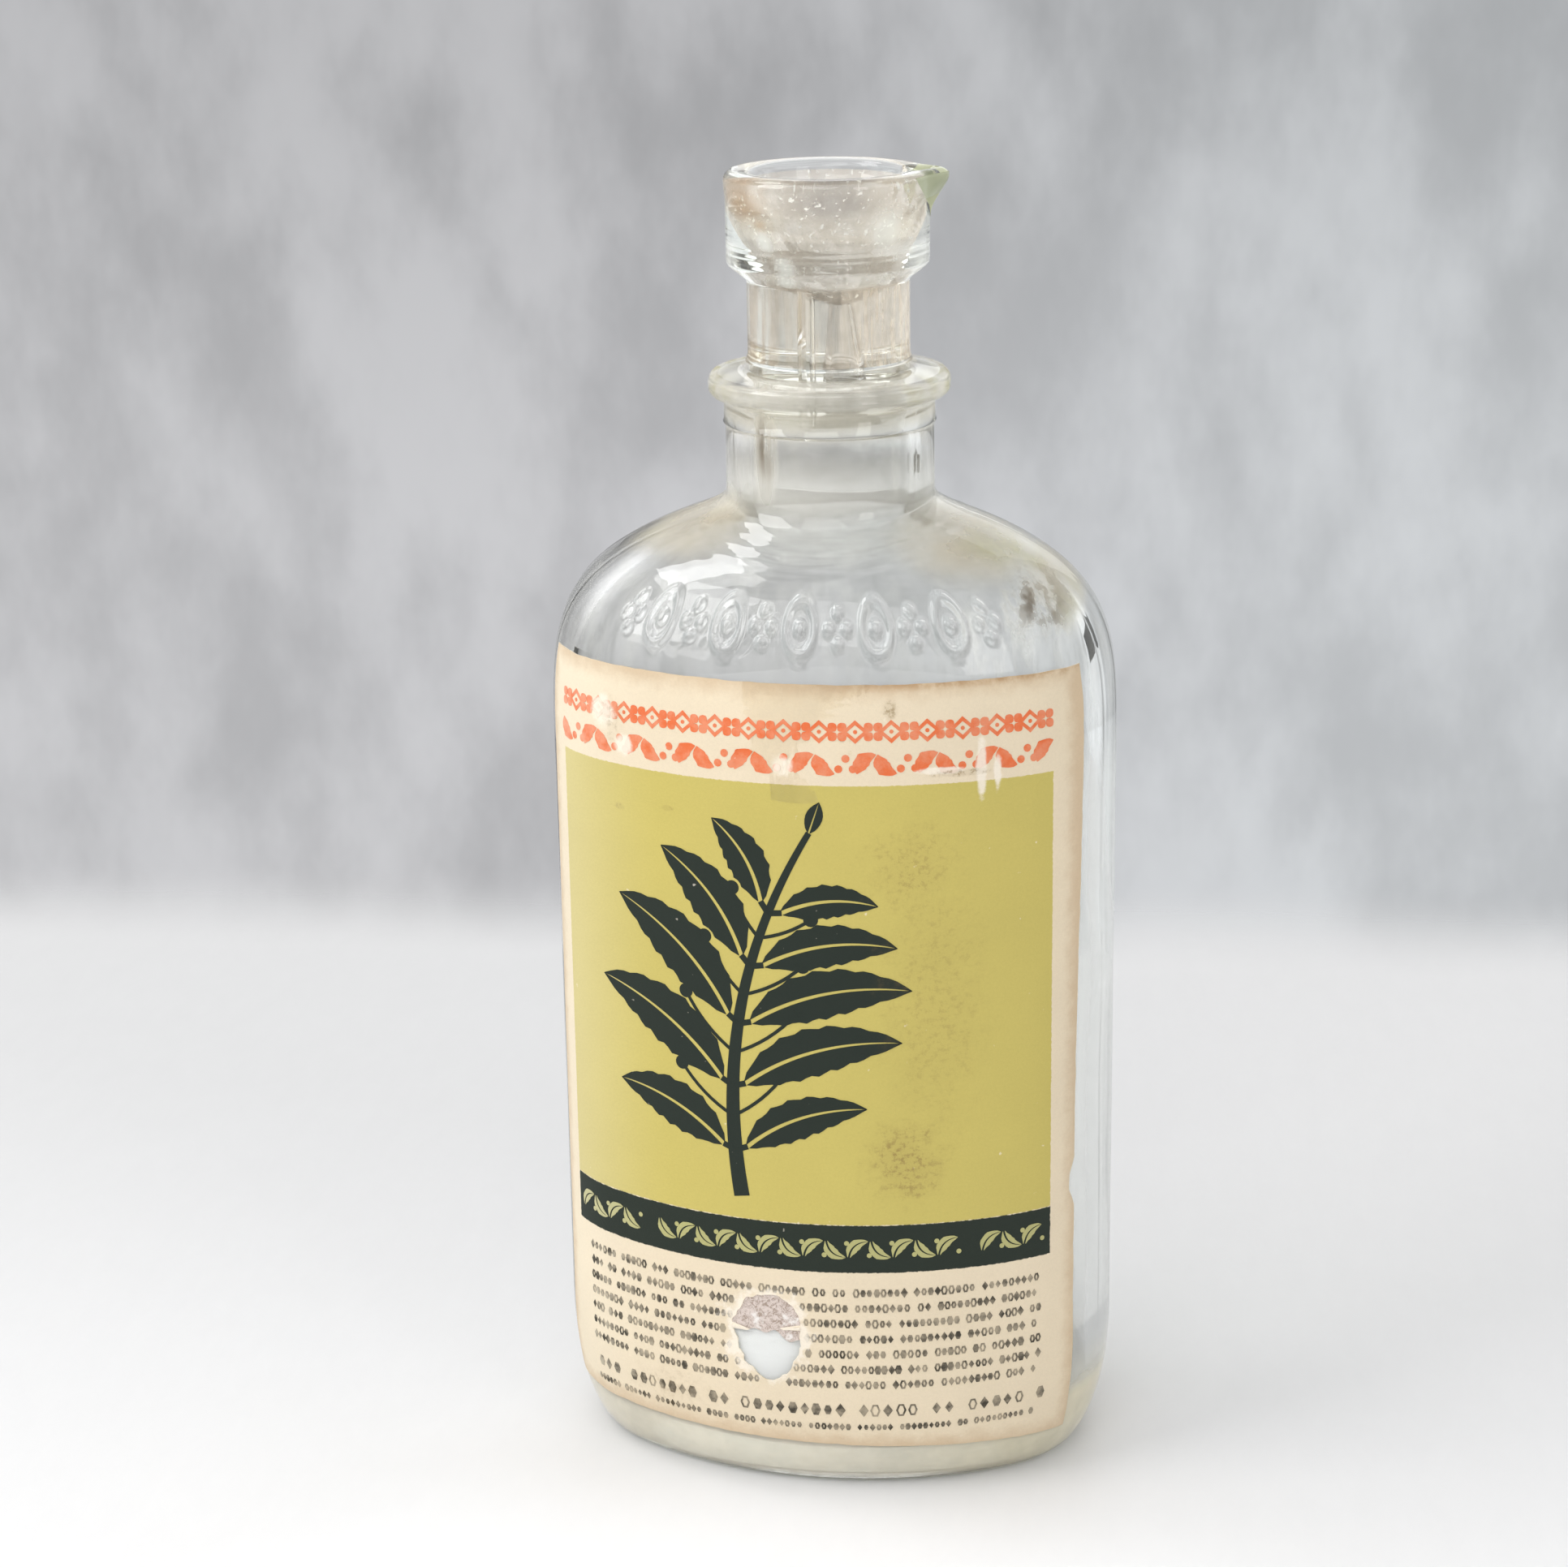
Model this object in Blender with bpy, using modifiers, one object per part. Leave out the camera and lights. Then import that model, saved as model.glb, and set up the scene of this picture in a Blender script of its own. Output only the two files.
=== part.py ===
"""Small oval dosing bottle of clear glass with a safety pourer fixed in its neck.

Blender 4.5 script, metres, +Z up.  The labelled front faces -Y, the ribbed back
faces +Y, and the origin is the middle of the base, on the table.

The bottle is blown in a two-part mould: an oval body with a soft shoulder that
runs into a round neck and a domed collar.  The pourer is one piece of pressed
glass: a cup with a beak, a stem with a narrow passage, and a plug below the stem
that is cemented into the bore.
"""
import math

import bmesh
import bpy
from mathutils import Matrix, Vector

# Oval body, outside
body_width = 0.0660
body_depth = 0.0453
side_roundness_share = 0.815
shoulder_start = 0.0822
shoulder_rise = 0.0348
shoulder_side_power = 1.30
shoulder_top_power = 4.85
shoulder_ring_power = 0.7
heel_inset = 0.0050
heel_height = 0.0170
foot_width = 0.0022
base_hollow = 0.0012
base_hollow_shares = (0.45, 0.80)

# Glass walls
wall = 0.0029
crown_wall = 0.0032
floor_thickness = 0.0048
inner_heel = 0.0052

# Neck and collar of the bottle
neck_radius = 0.0120
bore_radius = 0.0089
neck_length = 0.0103
neck_blend_power = 8.0
collar_radius = 0.0138
collar_height = 0.0030
collar_dome = 0.0008
collar_edge = 0.0005
mouth_edge = 0.0004
neck_ring_drop = 0.0030
neck_ring_height = 0.0006
neck_ring_proud = 0.00015

# Lengthwise ribs and dosing strokes on the back
rib_radius = 0.0011
rib_proud = 0.0006
rib_pitch = 0.0030
rib_first = 0.0085
ribs_a_side = 5
rib_margin = 0.0040
stroke_radius = 0.0007
stroke_proud = 0.0004
stroke_length = 0.0085
stroke_pitch = 0.0115

# Clearance between pieces that touch on the real bottle
seat_gap = 0.0003

# Clear resin cement that holds the pourer
cement_washer = 0.0003
cement_sleeve = 0.0006
cement_proud = 0.0004

# Pourer: plug and stem
plug_length = 0.0069
plug_chamfer = 0.0004
stem_radius = 0.0092
stem_length = 0.0087
stem_flare = 0.0003

# Pourer: cup
cup_radius = 0.01145
cup_taper_height = 0.0026
cup_corner_radius = 0.0008
cup_height = 0.0126
rim_proud = 0.0002
rim_roundness = 0.0011
cup_wall = 0.0029
cup_ring_proud = 0.00022
cup_ring_pitch = 0.0011
bowl_depth = 0.0140
bowl_power = 0.43

# Pourer: beak and passages
beak_reach = 0.0019
beak_radius = 0.0040
beak_drop = 0.0054
beak_root = 0.0006
beak_turn = math.radians(10.0)
channel_radius = 0.0013
channel_rise = 0.0026
passage_top_radius = 0.0010
passage_foot_radius = 0.0024
passage_top_offset = 0.0009
passage_foot_offset = 0.0014
air_hole_radius = 0.0008
air_hole_offset = 0.0027
air_hole_turn = math.radians(236.0)

# Paper label on the front
label_width = 0.0696
label_shift = -0.0017
label_bottom = 0.0070
label_top = 0.0990
label_paper = 0.0002
tear_width = 0.0078
tear_height = 0.0106
tear_left = 0.0048
tear_level = 0.0203
tear_shares = (1.0, 0.84, 1.02, 0.80, 0.96, 0.88, 1.0, 0.78, 0.94, 0.86, 0.72)

# Mesh density
ring_points = 64
shoulder_steps = 12
heel_steps = 6
turned_steps = 40
bowl_steps = 7
rounding_steps = 4
bar_segments = 16
weld_distance = 0.00001

# One overrun past a surface that a cutter opens
overrun = 0.0010

# Sizes that follow from the ones above
half_width = body_width / 2
half_depth = body_depth / 2
side_radius = half_depth * side_roundness_share
side_centre = half_width - side_radius
broad_radius = (half_depth ** 2 - side_radius ** 2 + side_centre ** 2) / (2 * (half_depth - side_radius))
broad_centre = broad_radius - half_depth
broad_angle = math.atan2(side_centre, broad_centre)
collar_foot = shoulder_start + shoulder_rise + neck_length
mouth_level = collar_foot + collar_height
washer_foot = mouth_level + seat_gap
washer_top = washer_foot + cement_washer
stem_foot = washer_top + seat_gap
plug_radius = bore_radius - cement_sleeve - 2 * seat_gap
plug_foot = stem_foot - plug_length
cup_foot = stem_foot + stem_length
rim_top = cup_foot + cup_height
bowl_floor = rim_top - bowl_depth


def clear_scene():
    """Remove every object, so that the script can be run again in one session."""
    for item in list(bpy.data.objects):
        bpy.data.objects.remove(item, do_unlink=True)


def collection(name):
    """Return a new or existing collection that is linked to the scene."""
    found = bpy.data.collections.get(name) or bpy.data.collections.new(name)
    if found.name not in bpy.context.scene.collection.children:
        bpy.context.scene.collection.children.link(found)
    return found


def finish_material(name, colour, roughness, metallic=0.0, transmission=0.0):
    """A plain Principled material for one piece."""
    material = bpy.data.materials.new(name)
    material.use_nodes = True
    shader = material.node_tree.nodes["Principled BSDF"]
    shader.inputs["Base Color"].default_value = (*colour, 1.0)
    shader.inputs["Roughness"].default_value = roughness
    shader.inputs["Metallic"].default_value = metallic
    shader.inputs["Transmission Weight"].default_value = transmission
    return material


def add_object(name, mesh_source, group, material=None):
    """Make an object from a bmesh, or from a finished mesh."""
    mesh = bpy.data.meshes.new(name)
    mesh_source.to_mesh(mesh)
    mesh_source.free()
    item = bpy.data.objects.new(name, mesh)
    group.objects.link(item)
    if material:
        mesh.materials.append(material)
    return item


def as_cutter(item):
    """Hide a cutter from renders and show it as wire."""
    item.hide_render = True
    item.display_type = "WIRE"
    return item


def boolean(item, other, operation):
    """Add an exact Boolean modifier."""
    step = item.modifiers.new(other.name, "BOOLEAN")
    step.operation = operation
    step.solver = "EXACT"
    step.object = other


def shade(item, angle=math.radians(40)):
    """Smooth shading with sharp edges kept."""
    item.data.shade_smooth()
    item.data.set_sharp_from_angle(angle=angle)


def oval_reach(direction, inset=0.0):
    """Distance from the axis to the oval, or to its parallel curve at an inset.

    The oval is made of four arcs: two broad ones for front and back, and two
    tight ones for the sides.
    """
    across, deep = abs(direction.x), abs(direction.y)
    joint_across = (broad_radius - inset) * math.sin(broad_angle)
    joint_deep = (broad_radius - inset) * math.cos(broad_angle) - broad_centre
    if deep * joint_across > across * joint_deep:
        bend, centre = broad_radius - inset, broad_centre
        return math.sqrt(bend ** 2 - (centre * across) ** 2) - centre * deep
    bend, centre = side_radius - inset, side_centre
    return centre * across + math.sqrt(bend ** 2 - (centre * deep) ** 2)


def oval_point(distance):
    """Point and outward normal on the outer oval, a distance along it from the
    middle of the front, positive towards +X."""
    broad_half = broad_radius * broad_angle
    side = math.copysign(1.0, distance)
    run = abs(distance)
    back = run > oval_length() / 2
    if back:
        run = oval_length() - run
    if run <= broad_half:
        angle = run / broad_radius
        point = Vector((broad_radius * math.sin(angle), broad_centre - broad_radius * math.cos(angle), 0))
    else:
        angle = broad_angle + (run - broad_half) / side_radius
        point = Vector((side_centre + side_radius * math.sin(angle), -side_radius * math.cos(angle), 0))
    normal = Vector((math.sin(angle), -math.cos(angle), 0))
    flip = Vector((side, -1.0 if back else 1.0, 1.0))
    return point * flip, normal * flip


def oval_length():
    """Length of the oval from the middle of the front to the middle of the back."""
    return 2 * (broad_radius * broad_angle + side_radius * (math.pi / 2 - broad_angle))


def ring_directions():
    """Unit directions that divide the oval evenly, counter-clockwise from the front."""
    half = oval_length()
    found = []
    for index in range(ring_points):
        run = 2 * half * index / ring_points
        distance = run if run <= half else run - 2 * half
        found.append(oval_point(distance)[0].normalized())
    return found


directions = ring_directions()


def section(level, share=1.0, inset=0.0, round_radius=0.0):
    """One ring of the body: the oval, shrunk by a share, blended into a circle."""
    ring = []
    for direction in directions:
        reach = oval_reach(direction, inset) * share
        if round_radius:
            power = neck_blend_power
            reach = (reach ** power + round_radius ** power) ** (1 / power)
        ring.append(Vector((direction.x * reach, direction.y * reach, level)))
    return ring


def circle(level, radius):
    """One round ring with the same directions as the oval ones."""
    return [Vector((direction.x * radius, direction.y * radius, level)) for direction in directions]


def shoulder_share(level):
    """How much of the full oval is left at a level on the outer shoulder."""
    if level <= shoulder_start:
        return 1.0
    climb = min((level - shoulder_start) / shoulder_rise, 1.0)
    return (1 - climb ** shoulder_top_power) ** (1 / shoulder_side_power)


def shoulder_levels(rise):
    """Levels of the shoulder's rings above its start, close together near the top."""
    last = math.radians(80)
    turn = [last * step / shoulder_steps for step in range(1, shoulder_steps + 1)]
    return [rise * math.sin(angle) ** shoulder_ring_power for angle in turn]


def heel_inset_at(level):
    """How far the outer wall has drawn in at a level on the heel."""
    drop = max(heel_height - level, 0.0) / heel_height
    return heel_inset * (1 - math.sqrt(1 - drop ** 2))


def loft(rings):
    """Skin a chain of rings with equal counts and close both ends."""
    mesh = bmesh.new()
    rows = [[mesh.verts.new(point) for point in ring] for ring in rings]
    for lower, upper in zip(rows, rows[1:]):
        for index in range(ring_points):
            after = (index + 1) % ring_points
            mesh.faces.new((lower[index], lower[after], upper[after], upper[index]))
    mesh.faces.new(list(reversed(rows[0])))
    mesh.faces.new(rows[-1])
    return mesh


def base_rings():
    """Hollow of the base, standing ring and rounded heel."""
    foot_inset = heel_inset + foot_width
    rings = [section(base_hollow, share, foot_inset) for share in base_hollow_shares]
    rings.append(section(0.0, 1.0, foot_inset))
    for step in range(heel_steps + 1):
        angle = math.pi / 2 * step / heel_steps
        inset = heel_inset * (1 - math.sin(angle))
        rings.append(section(heel_height * (1 - math.cos(angle)), 1.0, inset))
    return rings


def outer_shoulder_rings():
    """Outer shoulder, blended into the neck."""
    rings = [section(shoulder_start)]
    for climb in shoulder_levels(shoulder_rise):
        level = shoulder_start + climb
        rings.append(section(level, shoulder_share(level), 0.0, neck_radius))
    return rings


def collar_rings():
    """Fine mould ring on the neck, bulging collar with a domed top, and rounded mouth."""
    swell = collar_radius - neck_radius
    edge_level = mouth_level - collar_dome
    dome_width = collar_radius - bore_radius - mouth_edge
    ring_level = collar_foot - neck_ring_drop
    return [
        circle(ring_level - neck_ring_height / 2, neck_radius),
        circle(ring_level, neck_radius + neck_ring_proud),
        circle(ring_level + neck_ring_height / 2, neck_radius),
        circle(collar_foot - collar_edge, neck_radius),
        circle(collar_foot, neck_radius + swell / 4),
        circle(collar_foot + collar_edge, neck_radius + swell * 3 / 4),
        circle(collar_foot + 2 * collar_edge, collar_radius),
        circle(edge_level - collar_edge, collar_radius),
        circle(edge_level, collar_radius - collar_edge),
        circle(mouth_level - collar_dome / 4, collar_radius - dome_width / 2),
        circle(mouth_level, bore_radius + mouth_edge),
        circle(mouth_level - mouth_edge, bore_radius),
    ]


def inner_rings():
    """Bore, inner shoulder, inner wall and floor, from the top down."""
    rise = shoulder_rise - crown_wall
    rings = [circle(shoulder_start + rise, bore_radius)]
    for climb in reversed(shoulder_levels(rise)):
        share = (1 - (climb / rise) ** shoulder_top_power) ** (1 / shoulder_side_power)
        rings.append(section(shoulder_start + climb, share, wall, bore_radius))
    rings.append(section(shoulder_start, 1.0, wall))
    for step in range(heel_steps + 1):
        angle = math.pi / 2 * step / heel_steps
        inset = wall + inner_heel * (1 - math.cos(angle))
        rings.append(section(floor_thickness + inner_heel * (1 - math.sin(angle)), 1.0, inset))
    rings.append(section(floor_thickness, base_hollow_shares[0], wall + inner_heel))
    return rings


def capsule(name, radius, length, along_x, group):
    """A bar with round ends: a sphere whose halves are pulled apart."""
    mesh = bmesh.new()
    bmesh.ops.create_uvsphere(mesh, u_segments=10, v_segments=6, radius=radius)
    for vertex in mesh.verts:
        vertex.co.z += math.copysign(length / 2 - radius, vertex.co.z) if vertex.co.z else 0.0
    if along_x:
        bmesh.ops.rotate(mesh, verts=mesh.verts, matrix=Matrix.Rotation(math.pi / 2, 3, "Y"))
    return as_cutter(add_object(name, mesh, group))


def back_point(across, depth_below):
    """A place on the back, a depth below its surface, at a distance across from the middle."""
    distance = math.copysign(oval_length() - abs(across), across or 1.0)
    point, normal = oval_point(distance)
    return point - normal * depth_below


def add_back_relief(body, group):
    """Lengthwise ribs either side of a plain strip that carries the dosing strokes."""
    rib_foot = heel_height - rib_margin
    rib_head = shoulder_start - rib_margin
    for side in (-1, 1):
        for index in range(ribs_a_side):
            across = side * (rib_first + rib_pitch * index)
            rib = capsule(f"rib_{side}_{index}", rib_radius, rib_head - rib_foot, False, group)
            rib.location = back_point(across, rib_radius - rib_proud)
            rib.location.z = (rib_foot + rib_head) / 2
            boolean(body, rib, "UNION")
    strokes = int((shoulder_start - floor_thickness) / stroke_pitch)
    for index in range(1, strokes + 1):
        stroke = capsule(f"stroke_{index}", stroke_radius, stroke_length, True, group)
        stroke.location = back_point(0.0, stroke_radius - stroke_proud)
        stroke.location.z = floor_thickness + stroke_pitch * index
        boolean(body, stroke, "UNION")


def make_bottle(parts, cutters):
    """Glass bottle: one skin that runs over the mouth and down inside."""
    rings = base_rings() + outer_shoulder_rings() + collar_rings() + inner_rings()
    glass = finish_material("bottle_glass", (0.90, 0.93, 0.89), 0.05, 0.0, 1.0)
    body = add_object("bottle_body", loft(rings), parts, glass)
    shade(body)
    add_back_relief(body, cutters)
    return body


def turned(name, profile, group, material=None, closed=False):
    """Revolve a profile, given as (radius, level) pairs down the outer side, with Screw."""
    mesh = bmesh.new()
    line = [mesh.verts.new((radius, 0, level)) for radius, level in profile]
    pairs = list(zip(line, line[1:]))
    if closed:
        pairs.append((line[-1], line[0]))
    for start, end in pairs:
        mesh.edges.new((start, end))
    item = add_object(name, mesh, group, material)
    screw = item.modifiers.new("turn", "SCREW")
    screw.axis = "Z"
    screw.steps = turned_steps
    screw.render_steps = turned_steps
    screw.use_merge_vertices = True
    screw.merge_threshold = weld_distance
    screw.use_smooth_shade = True
    return item


def quarter(centre, size, start, end, steps):
    """Points on an ellipse about a (radius, level) centre, from one angle to another."""
    angles = [start + (end - start) * step / steps for step in range(steps + 1)]
    return [(centre[0] + size[0] * math.cos(a), centre[1] + size[1] * math.sin(a)) for a in angles]


def pourer_outline():
    """Outer side of the pourer from the top of its rim to the foot of its plug."""
    rim_radius = cup_radius + rim_proud
    rim = quarter((rim_radius - rim_roundness, rim_top - rim_roundness),
                  (rim_roundness, rim_roundness), math.pi / 2, 0, rounding_steps)
    corner = cup_foot + cup_taper_height
    rings = []
    for index in (1, 0):
        level = corner + cup_ring_pitch * (index + 0.5)
        rings.append((cup_radius, level + cup_ring_pitch / 3))
        rings.append((cup_radius + cup_ring_proud, level))
        rings.append((cup_radius, level - cup_ring_pitch / 3))
    taper = quarter((cup_radius - cup_corner_radius, corner), (cup_corner_radius, cup_corner_radius),
                    0, -math.pi / 4, rounding_steps)
    return (
        [(0.0, rim_top)] + rim + [(cup_radius, rim_top - 3 * rim_roundness)] + rings + taper
        + [(stem_radius, cup_foot), (stem_radius, stem_foot + 3 * stem_flare),
           (stem_radius + stem_flare, stem_foot),
           (plug_radius, stem_foot), (plug_radius, plug_foot + plug_chamfer),
           (plug_radius - plug_chamfer, plug_foot), (0.0, plug_foot)]
    )


def bowl_outline():
    """Hollow of the cup, flared at the rim, that narrows in a full curve to its floor."""
    bowl_radius = cup_radius - cup_wall
    flare = rim_roundness
    mouth = quarter((bowl_radius + flare, rim_top - flare), (flare, flare),
                    math.pi / 2, math.pi, rounding_steps)
    floor = []
    for step in range(bowl_steps, -1, -1):
        climb = (step / bowl_steps) ** 2
        level = bowl_floor + (bowl_depth - 2 * flare) * climb
        floor.append((bowl_radius * climb ** bowl_power, level))
    return [(0.0, rim_top + overrun), (bowl_radius + flare, rim_top + overrun)] + mouth + floor


def make_beak(group):
    """A cone that hangs point down and leans in, so that it dies into the cup's wall."""
    offset = cup_radius + beak_reach - beak_radius
    top_level = rim_top - rim_roundness / 3
    mesh = bmesh.new()
    bmesh.ops.create_cone(mesh, cap_ends=True, segments=bar_segments, radius1=beak_root,
                          radius2=beak_radius, depth=beak_drop)
    for vertex in mesh.verts:
        rise = vertex.co.z / beak_drop + 0.5
        vertex.co.x += offset * rise + (cup_radius - beak_root) * (1 - rise)
        vertex.co.z += top_level - beak_drop / 2
    bmesh.ops.rotate(mesh, verts=mesh.verts, matrix=Matrix.Rotation(beak_turn, 3, "Z"))
    return as_cutter(add_object("beak", mesh, group))


def round_bar(name, start, end, start_radius, end_radius, group):
    """A round bar or cone from one point to another, as a cutter."""
    run = end - start
    mesh = bmesh.new()
    bmesh.ops.create_cone(mesh, cap_ends=True, segments=bar_segments, radius1=start_radius,
                          radius2=end_radius, depth=run.length)
    bar = as_cutter(add_object(name, mesh, group))
    bar.rotation_mode = "QUATERNION"
    bar.rotation_quaternion = Vector((0, 0, 1)).rotation_difference(run)
    bar.location = (start + end) / 2
    return bar


def make_pourer(parts, cutters):
    """Glass pourer: turned blank, beak added, then bowl, channel and passages cut."""
    glass = finish_material("pourer_glass", (0.88, 0.91, 0.86), 0.06, 0.0, 1.0)
    pourer = turned("safety_pourer", pourer_outline(), parts, glass)
    boolean(pourer, make_beak(cutters), "UNION")
    boolean(pourer, as_cutter(turned("bowl", bowl_outline(), cutters)), "DIFFERENCE")

    turn = Matrix.Rotation(beak_turn, 3, "Z")
    start = turn @ Vector((cup_radius - cup_wall - overrun, 0, rim_top - channel_rise))
    end = turn @ Vector((cup_radius + beak_reach + overrun, 0, rim_top + overrun / 2))
    channel = round_bar("beak_channel", start, end, channel_radius, channel_radius, cutters)
    boolean(pourer, channel, "DIFFERENCE")

    foot = plug_foot - overrun
    head = bowl_floor + overrun
    passage = round_bar("pour_passage", turn @ Vector((passage_foot_offset, 0, foot)),
                        turn @ Vector((passage_top_offset, 0, head)), passage_foot_radius,
                        passage_top_radius, cutters)
    boolean(pourer, passage, "DIFFERENCE")

    place = Matrix.Rotation(air_hole_turn, 3, "Z") @ Vector((air_hole_offset, 0, 0))
    air_head = bowl_floor + bowl_depth / 4
    air = round_bar("air_passage", place + Vector((0, 0, foot)), place + Vector((0, 0, air_head)),
                    air_hole_radius, air_hole_radius, cutters)
    boolean(pourer, air, "DIFFERENCE")
    return pourer


def make_cement(parts):
    """Cement between pourer and bottle: a washer under the stem and a sleeve in the bore."""
    resin = finish_material("cement", (0.72, 0.67, 0.56), 0.35, 0.0, 0.6)
    washer_radius = stem_radius + stem_flare + cement_proud
    sleeve_outer = bore_radius - seat_gap
    sleeve_inner = plug_radius + seat_gap
    profile = [
        (washer_radius, washer_top),
        (washer_radius, washer_foot),
        (sleeve_outer, washer_foot),
        (sleeve_outer, plug_foot),
        (sleeve_inner, plug_foot),
        (sleeve_inner, washer_top),
    ]
    return turned("cement_ring", profile, parts, resin, closed=True)


def label_stations():
    """Distances along the oval for the label's columns: its ends and the body's own edges."""
    low = label_shift - label_width / 2
    high = label_shift + label_width / 2
    edge = 2 * oval_length() / ring_points
    inside = [edge * index for index in range(-ring_points, ring_points)]
    return [low] + [run for run in inside if low + edge / 4 < run < high - edge / 4] + [high]


def label_levels():
    """Heights for the label's rows: its ends and the body's own rings between them."""
    rings = [shoulder_start] + [shoulder_start + climb for climb in shoulder_levels(shoulder_rise)]
    turns = [math.pi / 2 * step / heel_steps for step in range(heel_steps + 1)]
    heel = [heel_height * (1 - math.cos(angle)) for angle in turns]
    inside = [level for level in heel + rings
              if label_bottom + wall / 4 < level < label_top - wall / 4]
    return [label_bottom] + inside + [label_top]


def make_label(parts, cutters):
    """Paper label: a sheet that lies on the front, thickened, with a torn hole."""
    stations = label_stations()
    levels = label_levels()
    columns, rows = len(stations) - 1, len(levels) - 1
    mesh = bmesh.new()
    bmesh.ops.create_grid(mesh, x_segments=columns, y_segments=rows, size=0.5)
    for vertex in mesh.verts:
        distance = stations[round((vertex.co.x + 0.5) * columns)]
        level = levels[round((vertex.co.y + 0.5) * rows)]
        point, normal = oval_point(distance)
        place = point * shoulder_share(level) + normal * (seat_gap - heel_inset_at(level))
        vertex.co = (place.x, place.y, level)
    paper = finish_material("label_paper", (0.86, 0.78, 0.58), 0.75)
    label = add_object("front_label", mesh, parts, paper)
    sheet = label.modifiers.new("paper", "SOLIDIFY")
    sheet.thickness = label_paper
    sheet.offset = 1.0

    mesh = bmesh.new()
    bmesh.ops.create_cone(mesh, cap_ends=True, segments=len(tear_shares), radius1=tear_width / 2,
                          radius2=tear_width / 2, depth=half_depth)
    for vertex in mesh.verts:
        turn = math.atan2(vertex.co.y, vertex.co.x) / (2 * math.pi) * len(tear_shares)
        share = tear_shares[round(turn) % len(tear_shares)]
        vertex.co.x *= share
        vertex.co.y *= share * tear_height / tear_width
    bmesh.ops.rotate(mesh, verts=mesh.verts, matrix=Matrix.Rotation(math.pi / 2, 3, "X"))
    tear = as_cutter(add_object("tear", mesh, cutters))
    tear.location = (-tear_left, -half_depth, tear_level)
    boolean(label, tear, "DIFFERENCE")
    return label


def main():
    clear_scene()
    parts = collection("dosing_bottle")
    cutters = collection("cutters")
    make_bottle(parts, cutters)
    make_pourer(parts, cutters)
    make_cement(parts)
    make_label(parts, cutters)


main()
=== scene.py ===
# %% [markdown]
# # A small oval dosing bottle of clear glass
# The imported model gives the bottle, its pourer, the resin between them and the paper label at
# their real sizes, as plain faceted solids. This lesson dresses them: fine glass skins for the
# facets, a printed and aged paper label, the dirt of some ninety years, and a plain studio.
# The bottle stands on z = 0, its label faces -Y and its beak points to +X.

# %% Load the frame
import math

import bmesh
import bpy
import numpy as np
from mathutils import Matrix, Vector, noise


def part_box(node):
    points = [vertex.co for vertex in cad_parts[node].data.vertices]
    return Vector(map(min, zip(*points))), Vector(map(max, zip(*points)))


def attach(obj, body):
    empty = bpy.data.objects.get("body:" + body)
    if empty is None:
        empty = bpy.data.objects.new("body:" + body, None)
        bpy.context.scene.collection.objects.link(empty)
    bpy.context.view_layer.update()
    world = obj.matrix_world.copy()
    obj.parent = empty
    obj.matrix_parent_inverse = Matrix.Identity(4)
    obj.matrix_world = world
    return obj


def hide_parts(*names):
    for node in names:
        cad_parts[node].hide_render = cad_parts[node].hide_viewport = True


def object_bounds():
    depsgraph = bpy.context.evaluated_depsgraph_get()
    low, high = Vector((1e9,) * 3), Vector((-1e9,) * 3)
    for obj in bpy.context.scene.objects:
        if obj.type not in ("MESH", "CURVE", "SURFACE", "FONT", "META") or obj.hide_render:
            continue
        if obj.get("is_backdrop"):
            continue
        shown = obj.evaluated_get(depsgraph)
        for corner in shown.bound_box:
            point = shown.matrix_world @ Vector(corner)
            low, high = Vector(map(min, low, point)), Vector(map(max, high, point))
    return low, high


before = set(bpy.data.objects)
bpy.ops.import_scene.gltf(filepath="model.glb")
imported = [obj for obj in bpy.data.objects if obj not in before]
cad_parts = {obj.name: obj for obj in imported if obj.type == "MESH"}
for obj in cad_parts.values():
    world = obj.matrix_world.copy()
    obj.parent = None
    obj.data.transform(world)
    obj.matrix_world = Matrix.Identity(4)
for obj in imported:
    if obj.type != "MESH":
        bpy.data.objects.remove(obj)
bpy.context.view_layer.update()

# %% [markdown]
# ## Sizes
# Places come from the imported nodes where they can: the width of the body, the level of the
# mouth, the foot of the plug. What a box can't say, such as how round a shoulder is, has a name
# here. One millimetre is `mm`, so that the numbers read as on a drawing.

# %% Sizes of the bottle
mm = 0.001
body_low, body_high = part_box("bottle_body")
pourer_low, pourer_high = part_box("safety_pourer")
label_low, label_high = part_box("front_label")

half_width = body_high.x
half_depth = -body_low.y
side_radius = half_depth * 0.815
side_centre = half_width - side_radius
broad_radius = ((half_depth ** 2 - side_radius ** 2 + side_centre ** 2)
                / (2 * (half_depth - side_radius)))
broad_centre = broad_radius - half_depth
broad_angle = math.atan2(side_centre, broad_centre)
broad_run = broad_radius * broad_angle
half_run = 2 * (broad_run + side_radius * (math.pi / 2 - broad_angle))

mouth_level = body_high.z
shoulder_start = 82.2 * mm
shoulder_rise = 34.8 * mm
shoulder_side_power = 1.30
shoulder_top_power = 4.85
heel_inset = 5.0 * mm
heel_height = 17.0 * mm
foot_width = 2.2 * mm
base_hollow = 1.2 * mm

wall = 2.9 * mm
crown_wall = 3.2 * mm
floor_thickness = 4.8 * mm
inner_heel = 5.2 * mm

neck_radius = 12.0 * mm
bore_radius = 8.9 * mm
neck_blend, bore_blend = 5.5, 3.5
collar_radius = 13.8 * mm
collar_foot = mouth_level - 3.0 * mm
print("body", round(2 * half_width / mm, 1), "x", round(2 * half_depth / mm, 1), "mm, mouth at",
      round(mouth_level / mm, 1), "mm")

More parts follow.
